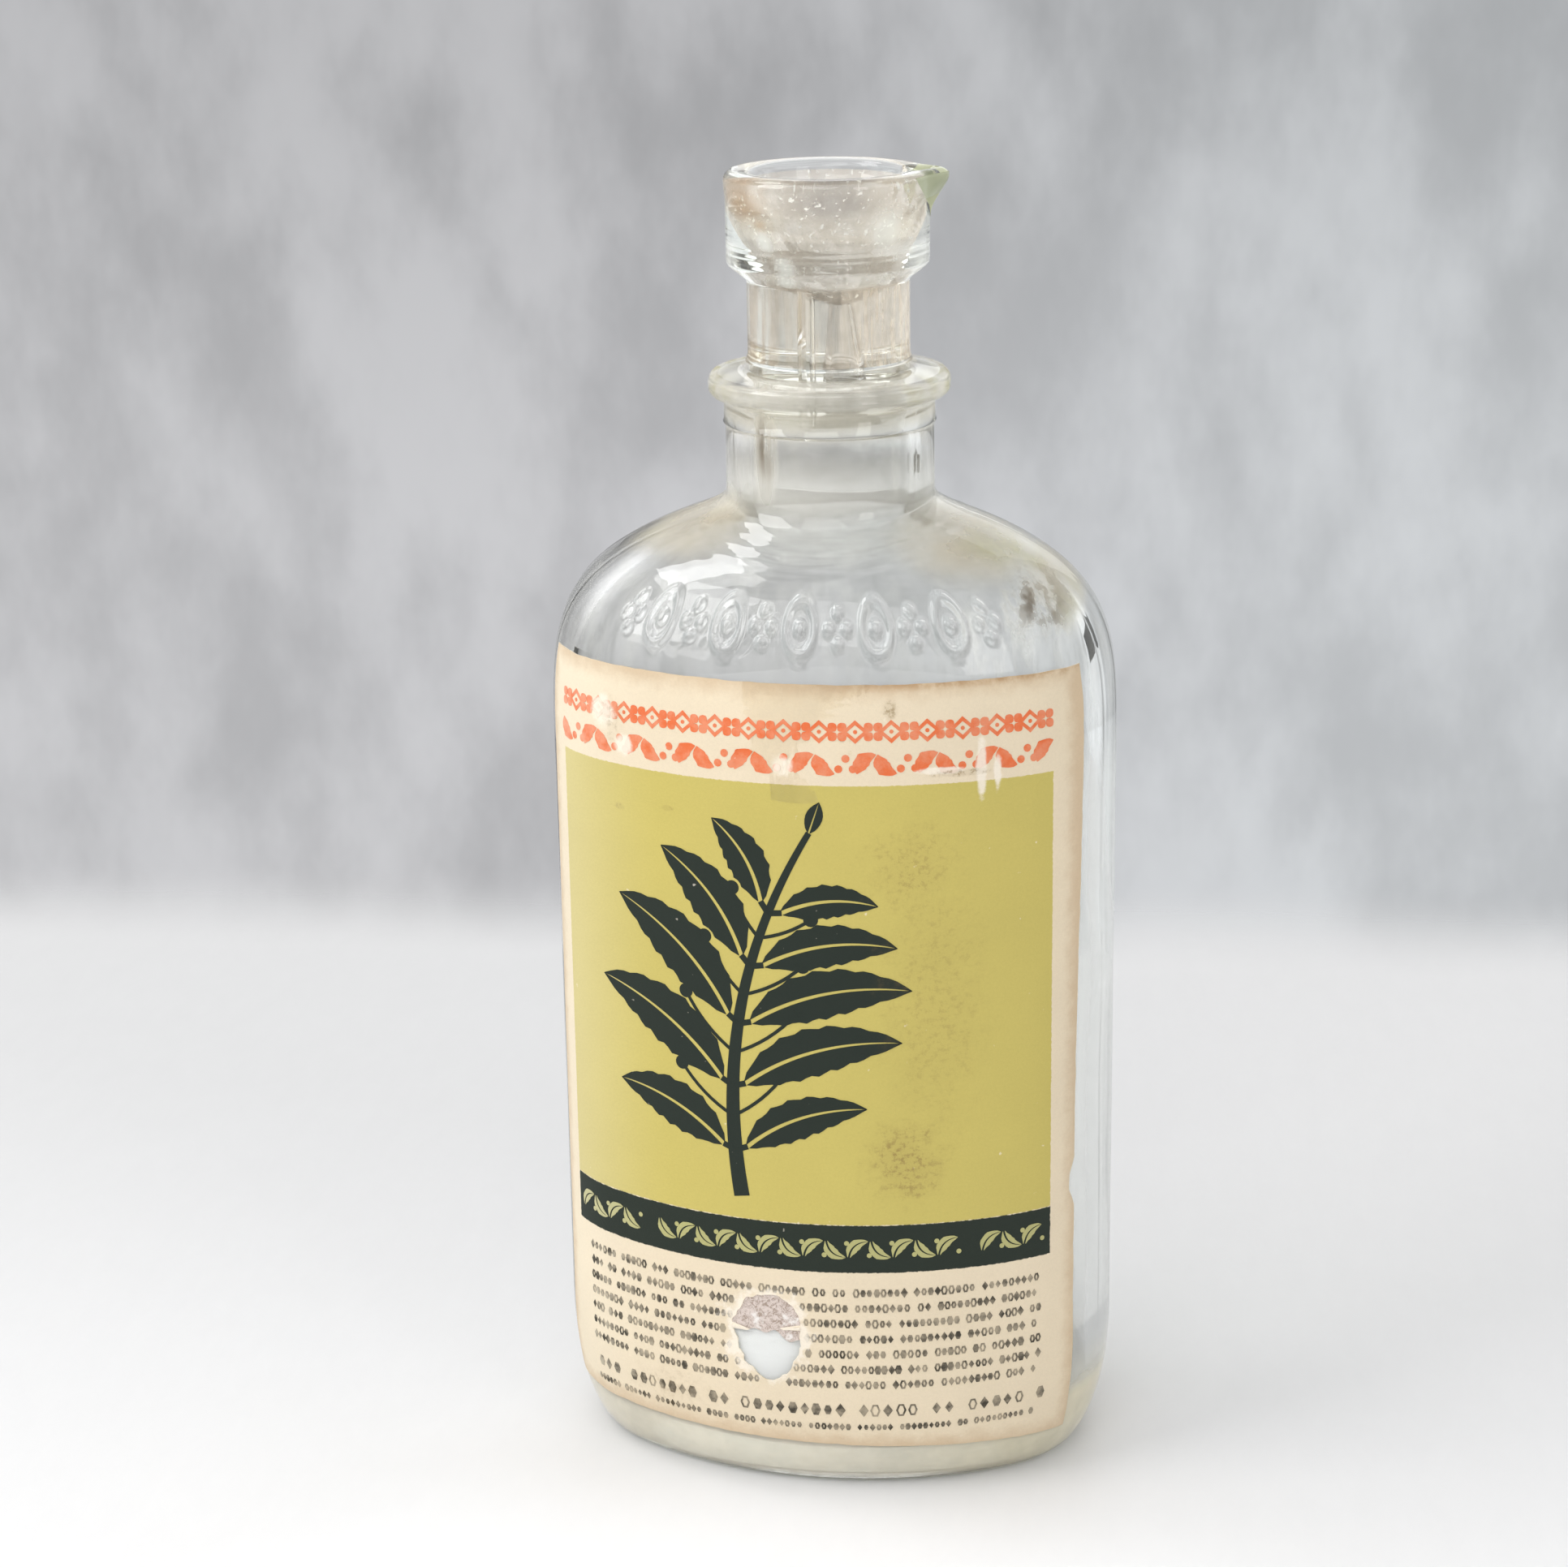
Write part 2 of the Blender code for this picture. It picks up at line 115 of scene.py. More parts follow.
# %% [markdown]
# ## How a section of the bottle is drawn
# Seen from above, the body is an oval of four arcs: two broad ones for front and back and two
# tight ones for the sides. Every ring of the skin is that oval, shrunk by a share and blended
# into a circle where the neck begins. An array of directions, spread evenly along the oval, is
# worked out once, and each ring is a distance along each direction.

# %% Oval sections
ring_points = 400


def oval_point(run):
    """Point and outward normal on the oval, a distance along it from the middle of the front."""
    side = math.copysign(1.0, run)
    run = abs(run)
    back = run > half_run / 2
    if back:
        run = half_run - run
    if run <= broad_run:
        angle = run / broad_radius
        point = (broad_radius * math.sin(angle), broad_centre - broad_radius * math.cos(angle))
    else:
        angle = broad_angle + (run - broad_run) / side_radius
        point = (side_centre + side_radius * math.sin(angle), -side_radius * math.cos(angle))
    flip = -1.0 if back else 1.0
    return (Vector((side * point[0], flip * point[1], 0)),
            Vector((side * math.sin(angle), -flip * math.cos(angle), 0)))


def run_of(x, y):
    """Distance along the oval from the middle of the front to the point in a direction."""
    across, deep = abs(x), abs(y)
    angle = math.atan2(across, broad_centre + deep)
    run = broad_radius * angle
    if angle > broad_angle:
        run = broad_run + side_radius * (math.atan2(across - side_centre, deep) - broad_angle)
    if y > 0:
        run = half_run - run
    return math.copysign(run, x)


runs = [2 * half_run * index / ring_points for index in range(ring_points)]
around = np.array([oval_point(run if run <= half_run else run - 2 * half_run)[0].normalized()
                   for run in runs])


def oval_reach(inset=0.0):
    """Distance from the axis to the oval's parallel curve, in every direction."""
    across, deep = np.abs(around[:, 0]), np.abs(around[:, 1])
    broad, side = broad_radius - inset, side_radius - inset
    joint_across = broad * math.sin(broad_angle)
    joint_deep = broad * math.cos(broad_angle) - broad_centre
    on_broad = deep * joint_across > across * joint_deep
    by_broad = (np.sqrt(np.maximum(broad ** 2 - (broad_centre * across) ** 2, 0))
                - broad_centre * deep)
    by_side = side_centre * across + np.sqrt(np.maximum(side ** 2 - (side_centre * deep) ** 2, 0))
    return np.where(on_broad, by_broad, by_side)


def section(level, share=1.0, inset=0.0, round_radius=0.0, blend=neck_blend):
    """One ring of the body at a level."""
    reach = oval_reach(inset) * share
    if round_radius:
        reach = (reach ** blend + round_radius ** blend) ** (1 / blend)
    return np.column_stack((around[:, :2] * reach[:, None], np.full(ring_points, level)))


def circle(level, radius):
    """One round ring in the same directions."""
    return np.column_stack((around[:, :2] * radius, np.full(ring_points, level)))


def shoulder_share(climb, rise):
    """How much of the oval is left at a climb above the start of a shoulder."""
    return (1 - min(max(climb, 0.0) / rise, 1.0) ** shoulder_top_power) ** (1 / shoulder_side_power)


def heel_draw(level):
    """How far the wall has drawn in at a level on the heel."""
    drop = min(max(heel_height - level, 0.0) / heel_height, 1.0)
    return heel_inset * (1 - math.sqrt(1 - drop ** 2))


bottle_heart = Vector((0, 0, 60 * mm))


def inner_waver(point):
    """How far the inner wall of blown glass strays at a place."""
    return (bottle_heart - point).normalized() * noise.noise(point * 55) * 0.4 * mm


def outer_waver(point):
    """How far the outer wall lies under its nominal surface at a place."""
    return (noise.noise(point * 55) * 0.04 - 0.08) * mm


print("oval of", ring_points, "points,", round(2 * half_run / mm, 1), "mm round")

# %% [markdown]
# ## Skinning
# A bottle wall is one skin that climbs the outside, turns over the mouth and runs down inside.
# It starts as one circle of edges. `extrude_edge_only` makes the next ring, which is put in its
# place, and so on from ring to ring: quick, and every face is a quad. Where the skin ends on the
# axis, the last ring is merged into one point.

# %% Extrude a skin ring by ring


def skin(rings, closed=False):
    """A bmesh that runs through rings of points, closed to a point at both ends or to itself."""
    mesh = bmesh.new()
    bmesh.ops.create_circle(mesh, segments=len(rings[0]), radius=1.0)
    ring = list(mesh.verts)
    first_edges = edges = list(mesh.edges)
    first_ring = ring
    for vertex, point in zip(ring, rings[0]):
        vertex.co = point
    for points in rings[1:]:
        made = bmesh.ops.extrude_edge_only(mesh, edges=edges)["geom"]
        fresh = {item for item in made if isinstance(item, bmesh.types.BMVert)}
        edges = [item for item in made if isinstance(item, bmesh.types.BMEdge)]
        ring = [next(edge.other_vert(vertex) for edge in vertex.link_edges
                     if edge.other_vert(vertex) in fresh) for vertex in ring]
        for vertex, point in zip(ring, points):
            vertex.co = point
    if closed:
        bmesh.ops.bridge_loops(mesh, edges=first_edges + edges)
    else:
        for end in (first_ring, ring):
            middle = sum((vertex.co for vertex in end), Vector()) / len(end)
            bmesh.ops.pointmerge(mesh, verts=end, merge_co=middle)
    bmesh.ops.recalc_face_normals(mesh, faces=mesh.faces)
    return mesh


def finish_piece(name, mesh, material, replaced=None, sharp=math.radians(50)):
    """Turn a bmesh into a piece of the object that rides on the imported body."""
    data = bpy.data.meshes.new(name)
    mesh.to_mesh(data)
    mesh.free()
    data.shade_smooth()
    data.set_sharp_from_angle(angle=sharp)
    data.materials.append(material)
    piece = bpy.data.objects.new(name, data)
    bpy.context.scene.collection.objects.link(piece)
    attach(piece, "root")
    if replaced:
        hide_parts(replaced)
    print(name, len(data.polygons), "faces")
    return piece


def arc(centre, size, start, end, steps):
    """(radius, level) points on an ellipse, from one angle in degrees to another."""
    angles = [math.radians(start + (end - start) * step / steps) for step in range(steps + 1)]
    return [(centre[0] + size[0] * math.cos(a), centre[1] + size[1] * math.sin(a)) for a in angles]


def swell(value, low, high):
    """Smooth step from 0 at low to 1 at high."""
    share = min(max((value - low) / (high - low), 0.0), 1.0)
    return share * share * (3 - 2 * share)


# %% [markdown]
# ## Nodes by name
# A material is a tree of nodes, and these few helpers plant one node each, so that a line of code
# reads like a formula. Two effects serve more than one material and are shader groups: `Ripple`
# gives the slow waves of blown glass, and `Aged print`, further down, puts any ink on the same
# old paper, so that a stain or a scuff runs on across paper, panel and ornament alike.

# %% Node helpers


def group_of(name, inputs, outputs):
    """An empty shader group with named sockets, and the sockets of its two ends."""
    group = bpy.data.node_groups.new(name, "ShaderNodeTree")
    for label, kind, value in inputs:
        socket = group.interface.new_socket(label, in_out="INPUT", socket_type=kind)
        if value is not None:
            socket.default_value = value
    for label, kind in outputs:
        group.interface.new_socket(label, in_out="OUTPUT", socket_type=kind)
    ends = [group.nodes.new(kind) for kind in ("NodeGroupInput", "NodeGroupOutput")]
    return group, ends[0].outputs, ends[1].inputs


def node(tree, kind, settings=(), **inputs):
    """Add a node and set or link its inputs: n0 is the first, Base_Color is 'Base Color'."""
    made = tree.nodes.new(kind)
    for key, value in dict(settings).items():
        setattr(made, key, value)
    for key, value in inputs.items():
        numbered = key[0] == "n" and key[1:].isdigit()
        socket = made.inputs[int(key[1:]) if numbered else key.replace("_", " ")]
        if isinstance(value, bpy.types.NodeSocket):
            tree.links.new(value, socket)
        else:
            socket.default_value = value
    return made


def maths(tree, operation, first, second=0.0, third=0.0):
    """One Math node and its result."""
    made = node(tree, "ShaderNodeMath", {"operation": operation}, n0=first, n1=second, n2=third)
    return made.outputs[0]


def times(tree, first, second):
    """The product of two values, as when one mask thins another."""
    return maths(tree, "MULTIPLY", first, second)


def linear(tree, value, factor, offset):
    """A value times a factor plus an offset."""
    return maths(tree, "MULTIPLY_ADD", value, factor, offset)


def size_of(tree, value):
    """A value without its sign."""
    return maths(tree, "ABSOLUTE", value)


def mix(tree, share, first, second, blend="MIX"):
    """Mix two colours by a share."""
    settings = {"data_type": "RGBA", "blend_type": blend}
    return node(tree, "ShaderNodeMix", settings, n0=share, n6=first, n7=second).outputs[2]


def layered(tree, colour, *layers):
    """Lay colours over a first one, each where its mask is."""
    for mask, over in layers:
        colour = mix(tree, mask, colour, over)
    return colour


def grey_of(tree, value):
    """A value as a colour."""
    return node(tree, "ShaderNodeCombineColor", n0=value, n1=value, n2=value).outputs[0]


def ramp(tree, value, low, high):
    """Map a value so that low gives 0 and high gives 1, with soft ends."""
    made = node(tree, "ShaderNodeMapRange", {"interpolation_type": "SMOOTHSTEP"}, Value=value,
                From_Min=low, From_Max=high)
    return made.outputs["Result"]


def cloud(tree, place, scale, detail=3.0, roughness=0.55, distortion=0.0):
    """Noise on a place."""
    made = node(tree, "ShaderNodeTexNoise", {}, Vector=place, Scale=scale, Detail=detail,
                Roughness=roughness, Distortion=distortion)
    return made.outputs["Fac"]


def stretched(tree, place, by):
    """A place multiplied by a vector, which draws a pattern out where the vector is small."""
    return node(tree, "ShaderNodeVectorMath", {"operation": "MULTIPLY"}, n0=place, n1=by).outputs[0]


def away(tree, place, centre, size):
    """Distance from a centre, 1 on the ellipse of a size. Both are in millimetres."""
    shifted = node(tree, "ShaderNodeVectorMath", {"operation": "SUBTRACT"}, n0=place,
                   n1=[part * mm for part in centre]).outputs[0]
    scaled = stretched(tree, shifted, [1 / (part * mm) for part in size])
    return node(tree, "ShaderNodeVectorMath", {"operation": "LENGTH"}, n0=scaled).outputs["Value"]


def pile(tree, value, *layers):
    """Add masks to a value, each times its own height."""
    for mask, height in layers:
        value = linear(tree, mask, height, value)
    return value


def strongest(tree, masks):
    """The greatest of some masks."""
    while len(masks) > 1:
        masks = [maths(tree, "MAXIMUM", masks[0], masks[1])] + masks[2:]
    return masks[0]


def material_of(name, **values):
    """A material with a Principled shader whose own sockets hold the plain values."""
    material = bpy.data.materials.new(name)
    material.use_nodes = True
    shader = material.node_tree.nodes["Principled BSDF"]
    for key, value in values.items():
        shader.inputs[key.replace("_", " ")].default_value = value
    return material, material.node_tree, shader


# %% Ripple group
ripple, ripple_in, ripple_out = group_of(
    "Ripple", [("Place", "NodeSocketVector", None), ("Scale", "NodeSocketFloat", 60.0)],
    [("Height", "NodeSocketFloat")])
slow = cloud(ripple, ripple_in["Place"], ripple_in["Scale"], 1.0, 0.4)
quick = cloud(ripple, ripple_in["Place"], times(ripple, ripple_in["Scale"], 5.0), 1.0, 0.4)
ripple.links.new(linear(ripple, quick, 0.12, slow), ripple_out["Height"])
print("Ripple has", len(ripple.nodes), "nodes")

# %% [markdown]
# ## Clear glass
# The glass is solid, so light bends at every wall as in the real one. A weak green absorption
# inside the wall tints only long paths: the rim, the collar and the heel. For rays on their way
# to a lamp, the wall turns transparent, because a solid glass would throw a black shadow.

# %% Glass material


def glass_material(name, tint, ripple_depth):
    """Clear glass with a slow ripple, which lets lamplight through."""
    material, tree, shader = material_of(
        name, Base_Color=(*tint, 1), Roughness=0.02, IOR=1.5, Transmission_Weight=1.0)
    place = node(tree, "ShaderNodeTexCoord").outputs["Object"]
    wave = node(tree, "ShaderNodeGroup", {"node_tree": ripple}, Place=place,
                Scale=55.0).outputs["Height"]
    bump = node(tree, "ShaderNodeBump", Strength=0.35, Distance=ripple_depth, Height=wave)
    tree.links.new(bump.outputs["Normal"], shader.inputs["Normal"])
    clear = node(tree, "ShaderNodeBsdfTransparent", Color=(0.87, 0.89, 0.87, 1))
    path = node(tree, "ShaderNodeLightPath")
    choice = node(tree, "ShaderNodeMixShader", n0=path.outputs["Is Shadow Ray"],
                  n1=shader.outputs[0], n2=clear.outputs[0])
    output = tree.nodes["Material Output"]
    tree.links.new(choice.outputs[0], output.inputs["Surface"])
    depth = node(tree, "ShaderNodeVolumeAbsorption", Color=(0.70, 0.80, 0.52, 1), Density=9.0)
    tree.links.new(depth.outputs[0], output.inputs["Volume"])
    return material


bottle_glass = glass_material("bottle_glass", (0.998, 1.0, 0.996), 0.12 * mm)
print("glass with", len(bottle_glass.node_tree.nodes), "nodes")

# %% [markdown]
# ## The bottle
# The rings climb from the middle of the base: its hollow, the standing ring, the heel, the wall,
# the shoulder, the neck and the collar, and go down again inside. The inner wall of a blown
# bottle wavers, and that gives glass its life, so the inner rings take a slow noise.

# %% Levels of rings


def spread(low, high, steps):
    """Levels from low to high, without the first."""
    return [low + (high - low) * step / steps for step in range(1, steps + 1)]


def shoulder_levels(rise, steps, last=80.0):
    """Climbs of a shoulder's rings, close together where it turns over."""
    turn = [math.radians(last) * step / steps for step in range(1, steps + 1)]
    return [rise * math.sin(angle) ** 0.7 for angle in turn]


# %% Rings from the base to the shoulder
foot_inset = heel_inset + foot_width
rings = [section(base_hollow, share, foot_inset) for share in (0.02, 0.45, 0.80, 0.93)]
rings += [section(0.25 * mm, 0.995, foot_inset), section(0.0, 1.0, foot_inset - 0.3 * mm),
          section(0.0, 1.0, heel_inset + 0.4 * mm)]
for step in range(1, 17):
    angle = math.pi / 2 * step / 16
    rings.append(section(heel_height * (1 - math.cos(angle)), 1.0,
                         heel_inset * (1 - math.sin(angle))))
rings += [section(level) for level in spread(heel_height, shoulder_start, 44)]
climbs = shoulder_levels(shoulder_rise, 38) + spread(shoulder_rise * 0.74, shoulder_rise * 0.92, 14)
rings += [section(shoulder_start + climb, shoulder_share(climb, shoulder_rise), 0.0, neck_radius)
          for climb in sorted(climbs)]
print(len(rings), "rings up to the neck")

# %% Rings of the neck and the collar
neck_foot = shoulder_start + shoulder_rise
neck_ring_level = collar_foot - 3.0 * mm
neck = [(neck_radius + swelling * mm, neck_ring_level + climb * mm)
        for swelling, climb in ((0.0, -0.45), (0.05, -0.22), (0.22, 0.0), (0.10, 0.15))]
neck += [(neck_radius + 0.08 * mm, collar_foot - 0.9 * mm)]
lip_height = mouth_level - collar_foot
tuck = arc((neck_radius + 0.7 * mm, collar_foot - 0.7 * mm), (0.64 * mm, 0.6 * mm), 180, 90, 5)
bead = arc((collar_radius - 1.0 * mm, collar_foot + 1.0 * mm), (1.0 * mm, 1.1 * mm), -80, 0, 6)
bead += arc((collar_radius - 1.1 * mm, collar_foot + lip_height * 0.6), (1.1 * mm, 0.75 * mm),
            0, 75, 5)
dome = [(bore_radius + 0.4 * mm + (collar_radius - 1.1 * mm - bore_radius) * share,
         mouth_level - 0.55 * mm * share ** 1.6) for share in (0.85, 0.6, 0.35, 0.1)]
lip = arc((bore_radius + 0.4 * mm, mouth_level - 0.4 * mm), (0.4 * mm, 0.4 * mm), 90, 180, 4)
rings += [circle(level, radius) for radius, level in neck + tuck + bead + dome + lip]
print(len(rings), "rings up to the mouth")

# %% Rings of the hollow
inner_rise = shoulder_rise - crown_wall
inner_neck = shoulder_start + inner_rise


def cavity_rings(outward=0.0):
    """The hollow from the mouth to the start of the shoulder, or a little way into the glass."""
    bore = [circle(level, bore_radius + outward)
            for level in reversed(spread(inner_neck, mouth_level - 0.5 * mm, 12))]
    return bore + [section(shoulder_start + climb + outward, shoulder_share(climb, inner_rise),
                           wall - outward, bore_radius + outward, bore_blend)
                   for climb in reversed(shoulder_levels(inner_rise, 30))]


rings += cavity_rings()
rings += [section(level, 1.0, wall)
          for level in reversed(spread(floor_thickness + inner_heel, shoulder_start, 18))]
for step in range(9):
    angle = math.pi / 2 * step / 8
    rings.append(section(floor_thickness + inner_heel * (1 - math.sin(angle)), 1.0,
                         wall + inner_heel * (1 - math.cos(angle))))
rings += [section(floor_thickness, share, wall + inner_heel) for share in (0.6, 0.25, 0.02)]
print(len(rings), "rings of", ring_points, "points")

# %% [markdown]
# ## Relief on the glass
# Such a bottle is ribbed lengthwise on the back, so that a hand knows it in the dark, with a plain
# strip between for the dosing strokes. The front of the shoulder carries a raised band, here of
# plain rings and dots. All of it is a height over the skin: the faces under it are first
# divided, so that there is something to lift, and each vertex then moves along its normal.

# %% Sizes of the relief
rib_count, stroke_count = 5, 6
rib_radius, rib_proud, rib_pitch, rib_first = 1.1 * mm, 0.6 * mm, 3.0 * mm, 8.5 * mm
rib_foot, rib_head = heel_height - 4.0 * mm, shoulder_start - 4.0 * mm
stroke_radius, stroke_proud, stroke_length, stroke_pitch = 0.7 * mm, 0.4 * mm, 8.5 * mm, 11.5 * mm
band_level, band_half = 104.9 * mm, 3.0 * mm
band_left, band_right = -25.2 * mm, 25.2 * mm
motif_pitch, motif_line, motif_proud = 4.6 * mm, 0.62 * mm, 0.38 * mm
print(rib_count, "ribs to a side,", stroke_count, "strokes,",
      round((band_right - band_left) / motif_pitch), "motifs")


def fold_depth(radius):
    """Faint folds that run round the foot of the neck, where the glass was drawn in."""
    inside = swell(radius, 13.0 * mm, 13.8 * mm) * (1 - swell(radius, 16.0 * mm, 18.5 * mm))
    return -0.035 * mm * inside * (1 + math.cos(2 * math.pi * (radius - 14.6 * mm) / (1.5 * mm)))


# %% Height of the relief


def bead_height(off, radius, proud):
    """Height of a round bead at a distance off its middle line."""
    return max(math.sqrt(max(radius ** 2 - off ** 2, 0.0)) - (radius - proud), 0.0)


def back_height(run, level):
    """Ribs and dosing strokes: run is measured from the middle of the back."""
    ends = (swell(level, rib_foot, rib_foot + 2 * rib_radius)
            * (1 - swell(level, rib_head - 2 * rib_radius, rib_head)))
    index = min(max(round((abs(run) - rib_first) / rib_pitch), 0), rib_count - 1)
    rib = bead_height(abs(run) - rib_first - index * rib_pitch, rib_radius,
                      rib_proud * max(ends, 0.001))
    row = round((level - floor_thickness) / stroke_pitch)
    stroke = 0.0
    if 1 <= row <= stroke_count:
        past = max(abs(run) - stroke_length / 2 + stroke_radius, 0.0)
        stroke = bead_height(math.hypot(level - floor_thickness - row * stroke_pitch, past),
                             stroke_radius, stroke_proud)
    return max(rib * ends, stroke)


def motif_height(run, level):
    """Upright rings with a dot inside, and four dots between them."""
    index = round(run / motif_pitch)
    across, up = run - index * motif_pitch, level - band_level
    if index % 2 == 0:
        hoop = (math.hypot(across / (1.75 * mm), up / (2.7 * mm)) - 1) * 2.1 * mm
        off = min(abs(hoop), math.hypot(across, up) - 0.35 * mm)
    else:
        dots = [math.hypot(across - dx * mm, up - dz * mm) - 0.3 * mm
                for dx, dz in ((0, 1.55), (0, -1.55), (1.05, 0), (-1.05, 0))]
        off = min(dots)
    return motif_proud * (1 - swell(off, 0.0, motif_line * 1.25))


# %% Divide the faces under the relief


def under_relief(face):
    """1 for a face of the back strip that is divided, 2 for one of the shoulder band."""
    middle = face.calc_center_median()
    if (face.normal.y > 0.3 and rib_foot < middle.z < rib_head
            and abs(middle.x) < stroke_length / 2 + mm):
        row = round((middle.z - floor_thickness) / stroke_pitch)
        off = abs(middle.z - floor_thickness - row * stroke_pitch)
        if 1 <= row <= stroke_count and off < 1.6 * mm:
            return 1
    if face.normal.y < -0.02 and abs(middle.z - band_level) < band_half + 0.5 * mm:
        share = shoulder_share(middle.z - shoulder_start, shoulder_rise)
        if abs(run_of(middle.x / share, middle.y / share)) < band_right + 0.5 * mm:
            return 2
    return 0


bottle = skin(rings)
bottle.normal_update()
for kind, cuts in ((1, 2), (2, 2)):
    chosen = [face for face in bottle.faces if under_relief(face) == kind and
              math.hypot(*face.calc_center_median().xy) > bore_radius + wall
              and face.normal.dot(Vector((*face.calc_center_median().xy, 0))) > 0]
    edges = list({edge for face in chosen for edge in face.edges})
    bmesh.ops.subdivide_edges(bottle, edges=edges, cuts=cuts, use_grid_fill=True)
print("divided into", len(bottle.faces), "faces")

# %% Lift the relief and finish the bottle
seam_proud = 0.05 * mm
bottle.normal_update()
moves = []
for vertex in bottle.verts:
    x, y, z = vertex.co
    if vertex.normal.dot(vertex.co - bottle_heart) < 0:
        if z < inner_neck:
            moves.append((vertex, inner_waver(vertex.co)))
        continue
    lift = outer_waver(vertex.co) if z > base_hollow else 0.0
    if shoulder_start < z < neck_foot:
        lift += fold_depth(math.hypot(x, y))
    if y > 0 and z < shoulder_start:
        back_run = half_run - abs(run_of(x, y))
        lift += back_height(back_run, z)
    elif y < 0 and abs(z - band_level) < band_half + mm:
        share = shoulder_share(z - shoulder_start, shoulder_rise)
        run = run_of(x / share, y / share)
        if band_left < run < band_right:
            lift += motif_height(run, z)
    if heel_height * 0.3 < z < collar_foot:
        lift += seam_proud * (1 - swell(abs(y), 0.12 * mm, 0.4 * mm))
    moves.append((vertex, vertex.normal * lift))
for vertex, move in moves:
    vertex.co += move
finish_piece("glass_bottle", bottle, bottle_glass, "bottle_body")

# %% [markdown]
# ## The pourer
# Cup, stem and plug are one piece of glass with a passage down the middle, so its skin is a closed
# loop of rings: down the outside, up the passage and out through the bowl. The beak is drawn
# outwards from the rim as a glassmaker pulls it, by adding a little reach in its direction, and
# the bowl gets a groove there. The air hole beside the passage is cut by a Boolean.

# %% Sizes of the pourer
rim_top = pourer_high.z
plug_foot = pourer_low.z
cup_radius = 11.45 * mm
stem_radius = 9.2 * mm
stem_foot = mouth_level + 0.9 * mm
stem_top = stem_foot + 8.7 * mm
corner = stem_top + 2.6 * mm
bowl_floor = rim_top - 14.4 * mm
rim_inner = 8.6 * mm
plug_radius = 7.7 * mm
beak_turn = math.radians(10.0)
beak_reach = 2.1 * mm
beak_half_angle = math.radians(19.0)
passage_top_offset, passage_foot_offset = 0.9 * mm, 1.4 * mm
pourer_points = 192
turns = [2 * math.pi * index / pourer_points for index in range(pourer_points)]
rim_round = 1.1 * mm
passage_foot, passage_top = 2.4 * mm, 0.9 * mm
bowl_depth = rim_top - bowl_floor
print("pourer", round((rim_top - plug_foot) / mm, 1), "mm tall, bowl", round(bowl_depth / mm, 1),
      "mm deep")

# %% One ring of the pourer


def beak_share(turn):
    """1 in the beak's own direction, falling to 0 at its sides."""
    off = abs((turn - beak_turn + math.pi) % (2 * math.pi) - math.pi)
    return max(1 - off / beak_half_angle, 0.0) ** 1.35


def pourer_ring(radius, level, beak=0.0, lift=0.0, shift=0.0):
    """One ring, with a share of the beak's reach, a lift there, and a shift towards the beak."""
    points = []
    for turn in turns:
        share = beak_share(turn)
        reach = radius + beak_reach * beak * share
        points.append((reach * math.cos(turn) + shift * math.cos(beak_turn),
                       reach * math.sin(turn) + shift * math.sin(beak_turn), level + lift * share))
    return points


def beak_at(level):
    """How far the beak still stands out at a level below the rim."""
    return (1 - swell(rim_top - level, 0.6 * mm, 5.6 * mm)) ** 1.2


# %% Outside of the pourer, from the rim to the foot of the plug
brim = arc((cup_radius + 0.2 * mm - rim_round, rim_top - rim_round), (rim_round, rim_round),
           90, 0, 8)
brim += [(cup_radius + 0.2 * mm * swell(level, rim_top - 4 * mm, rim_top - mm), level)
         for level in spread(rim_top - rim_round, corner + 2.6 * mm, 12)]
pourer_rings = [pourer_ring(radius, level, beak_at(level)) for radius, level in brim]
cup_ring = ((0.32, 0.0), (0.14, 0.018), (0.0, 0.03), (-0.14, 0.018), (-0.32, 0.0))
outline = [(cup_radius + proud * mm, corner + (climb + off) * mm)
           for climb in (1.9, 1.2, 0.5) for off, proud in cup_ring]
outline += arc((cup_radius - 0.8 * mm, corner), (0.8 * mm, 0.8 * mm), 0, -42, 4)
outline += arc((stem_radius + 0.7 * mm, stem_top + 0.1 * mm), (0.7 * mm, 0.7 * mm), 138, 180, 4)
outline += [(stem_radius, level) for level in spread(stem_top - 0.6 * mm, stem_foot + 1.0 * mm, 8)]
outline += [(stem_radius + off * mm, stem_foot + climb * mm)
            for off, climb in ((0.08, 0.5), (0.3, 0.0), (0.0, -0.02))]
outline += [(plug_radius + 0.3 * mm, stem_foot - 0.02 * mm), (plug_radius, stem_foot - 0.3 * mm)]
outline += [(plug_radius - off * mm, plug_foot + climb * mm)
            for off, climb in ((0.0, 0.4), (0.1, 0.1), (0.5, 0.0))]
pourer_rings += [pourer_ring(radius, level) for radius, level in outline]
print(len(pourer_rings), "rings down the outside of the pourer")

# %% Passage and bowl


def hollow_rings(outward=0.0):
    """The passage from its foot and the bowl up to its rim, or a little way into the glass."""
    made = []
    for step in range(15):
        share = step / 14
        level = plug_foot + (bowl_floor - 0.3 * mm - plug_foot) * share
        radius = passage_foot + (passage_top - passage_foot) * share ** 0.7
        shift = passage_foot_offset + (passage_top_offset - passage_foot_offset) * share
        made.append(pourer_ring(radius + outward, level, shift=shift))
    for step in range(1, 25):
        climb = (step / 24) ** 1.8
        radius = passage_top + 0.1 * mm + (rim_inner - passage_top - 0.1 * mm) * climb ** 0.47
        level = bowl_floor + (bowl_depth - 1.2 * mm) * climb
        groove = 1.35 * swell(level, rim_top - 5.0 * mm, rim_top - 1.0 * mm)
        made.append(pourer_ring(radius + outward, level - outward * (1 - climb), groove, 0.0,
                                passage_top_offset * (1 - climb) ** 3))
    return made


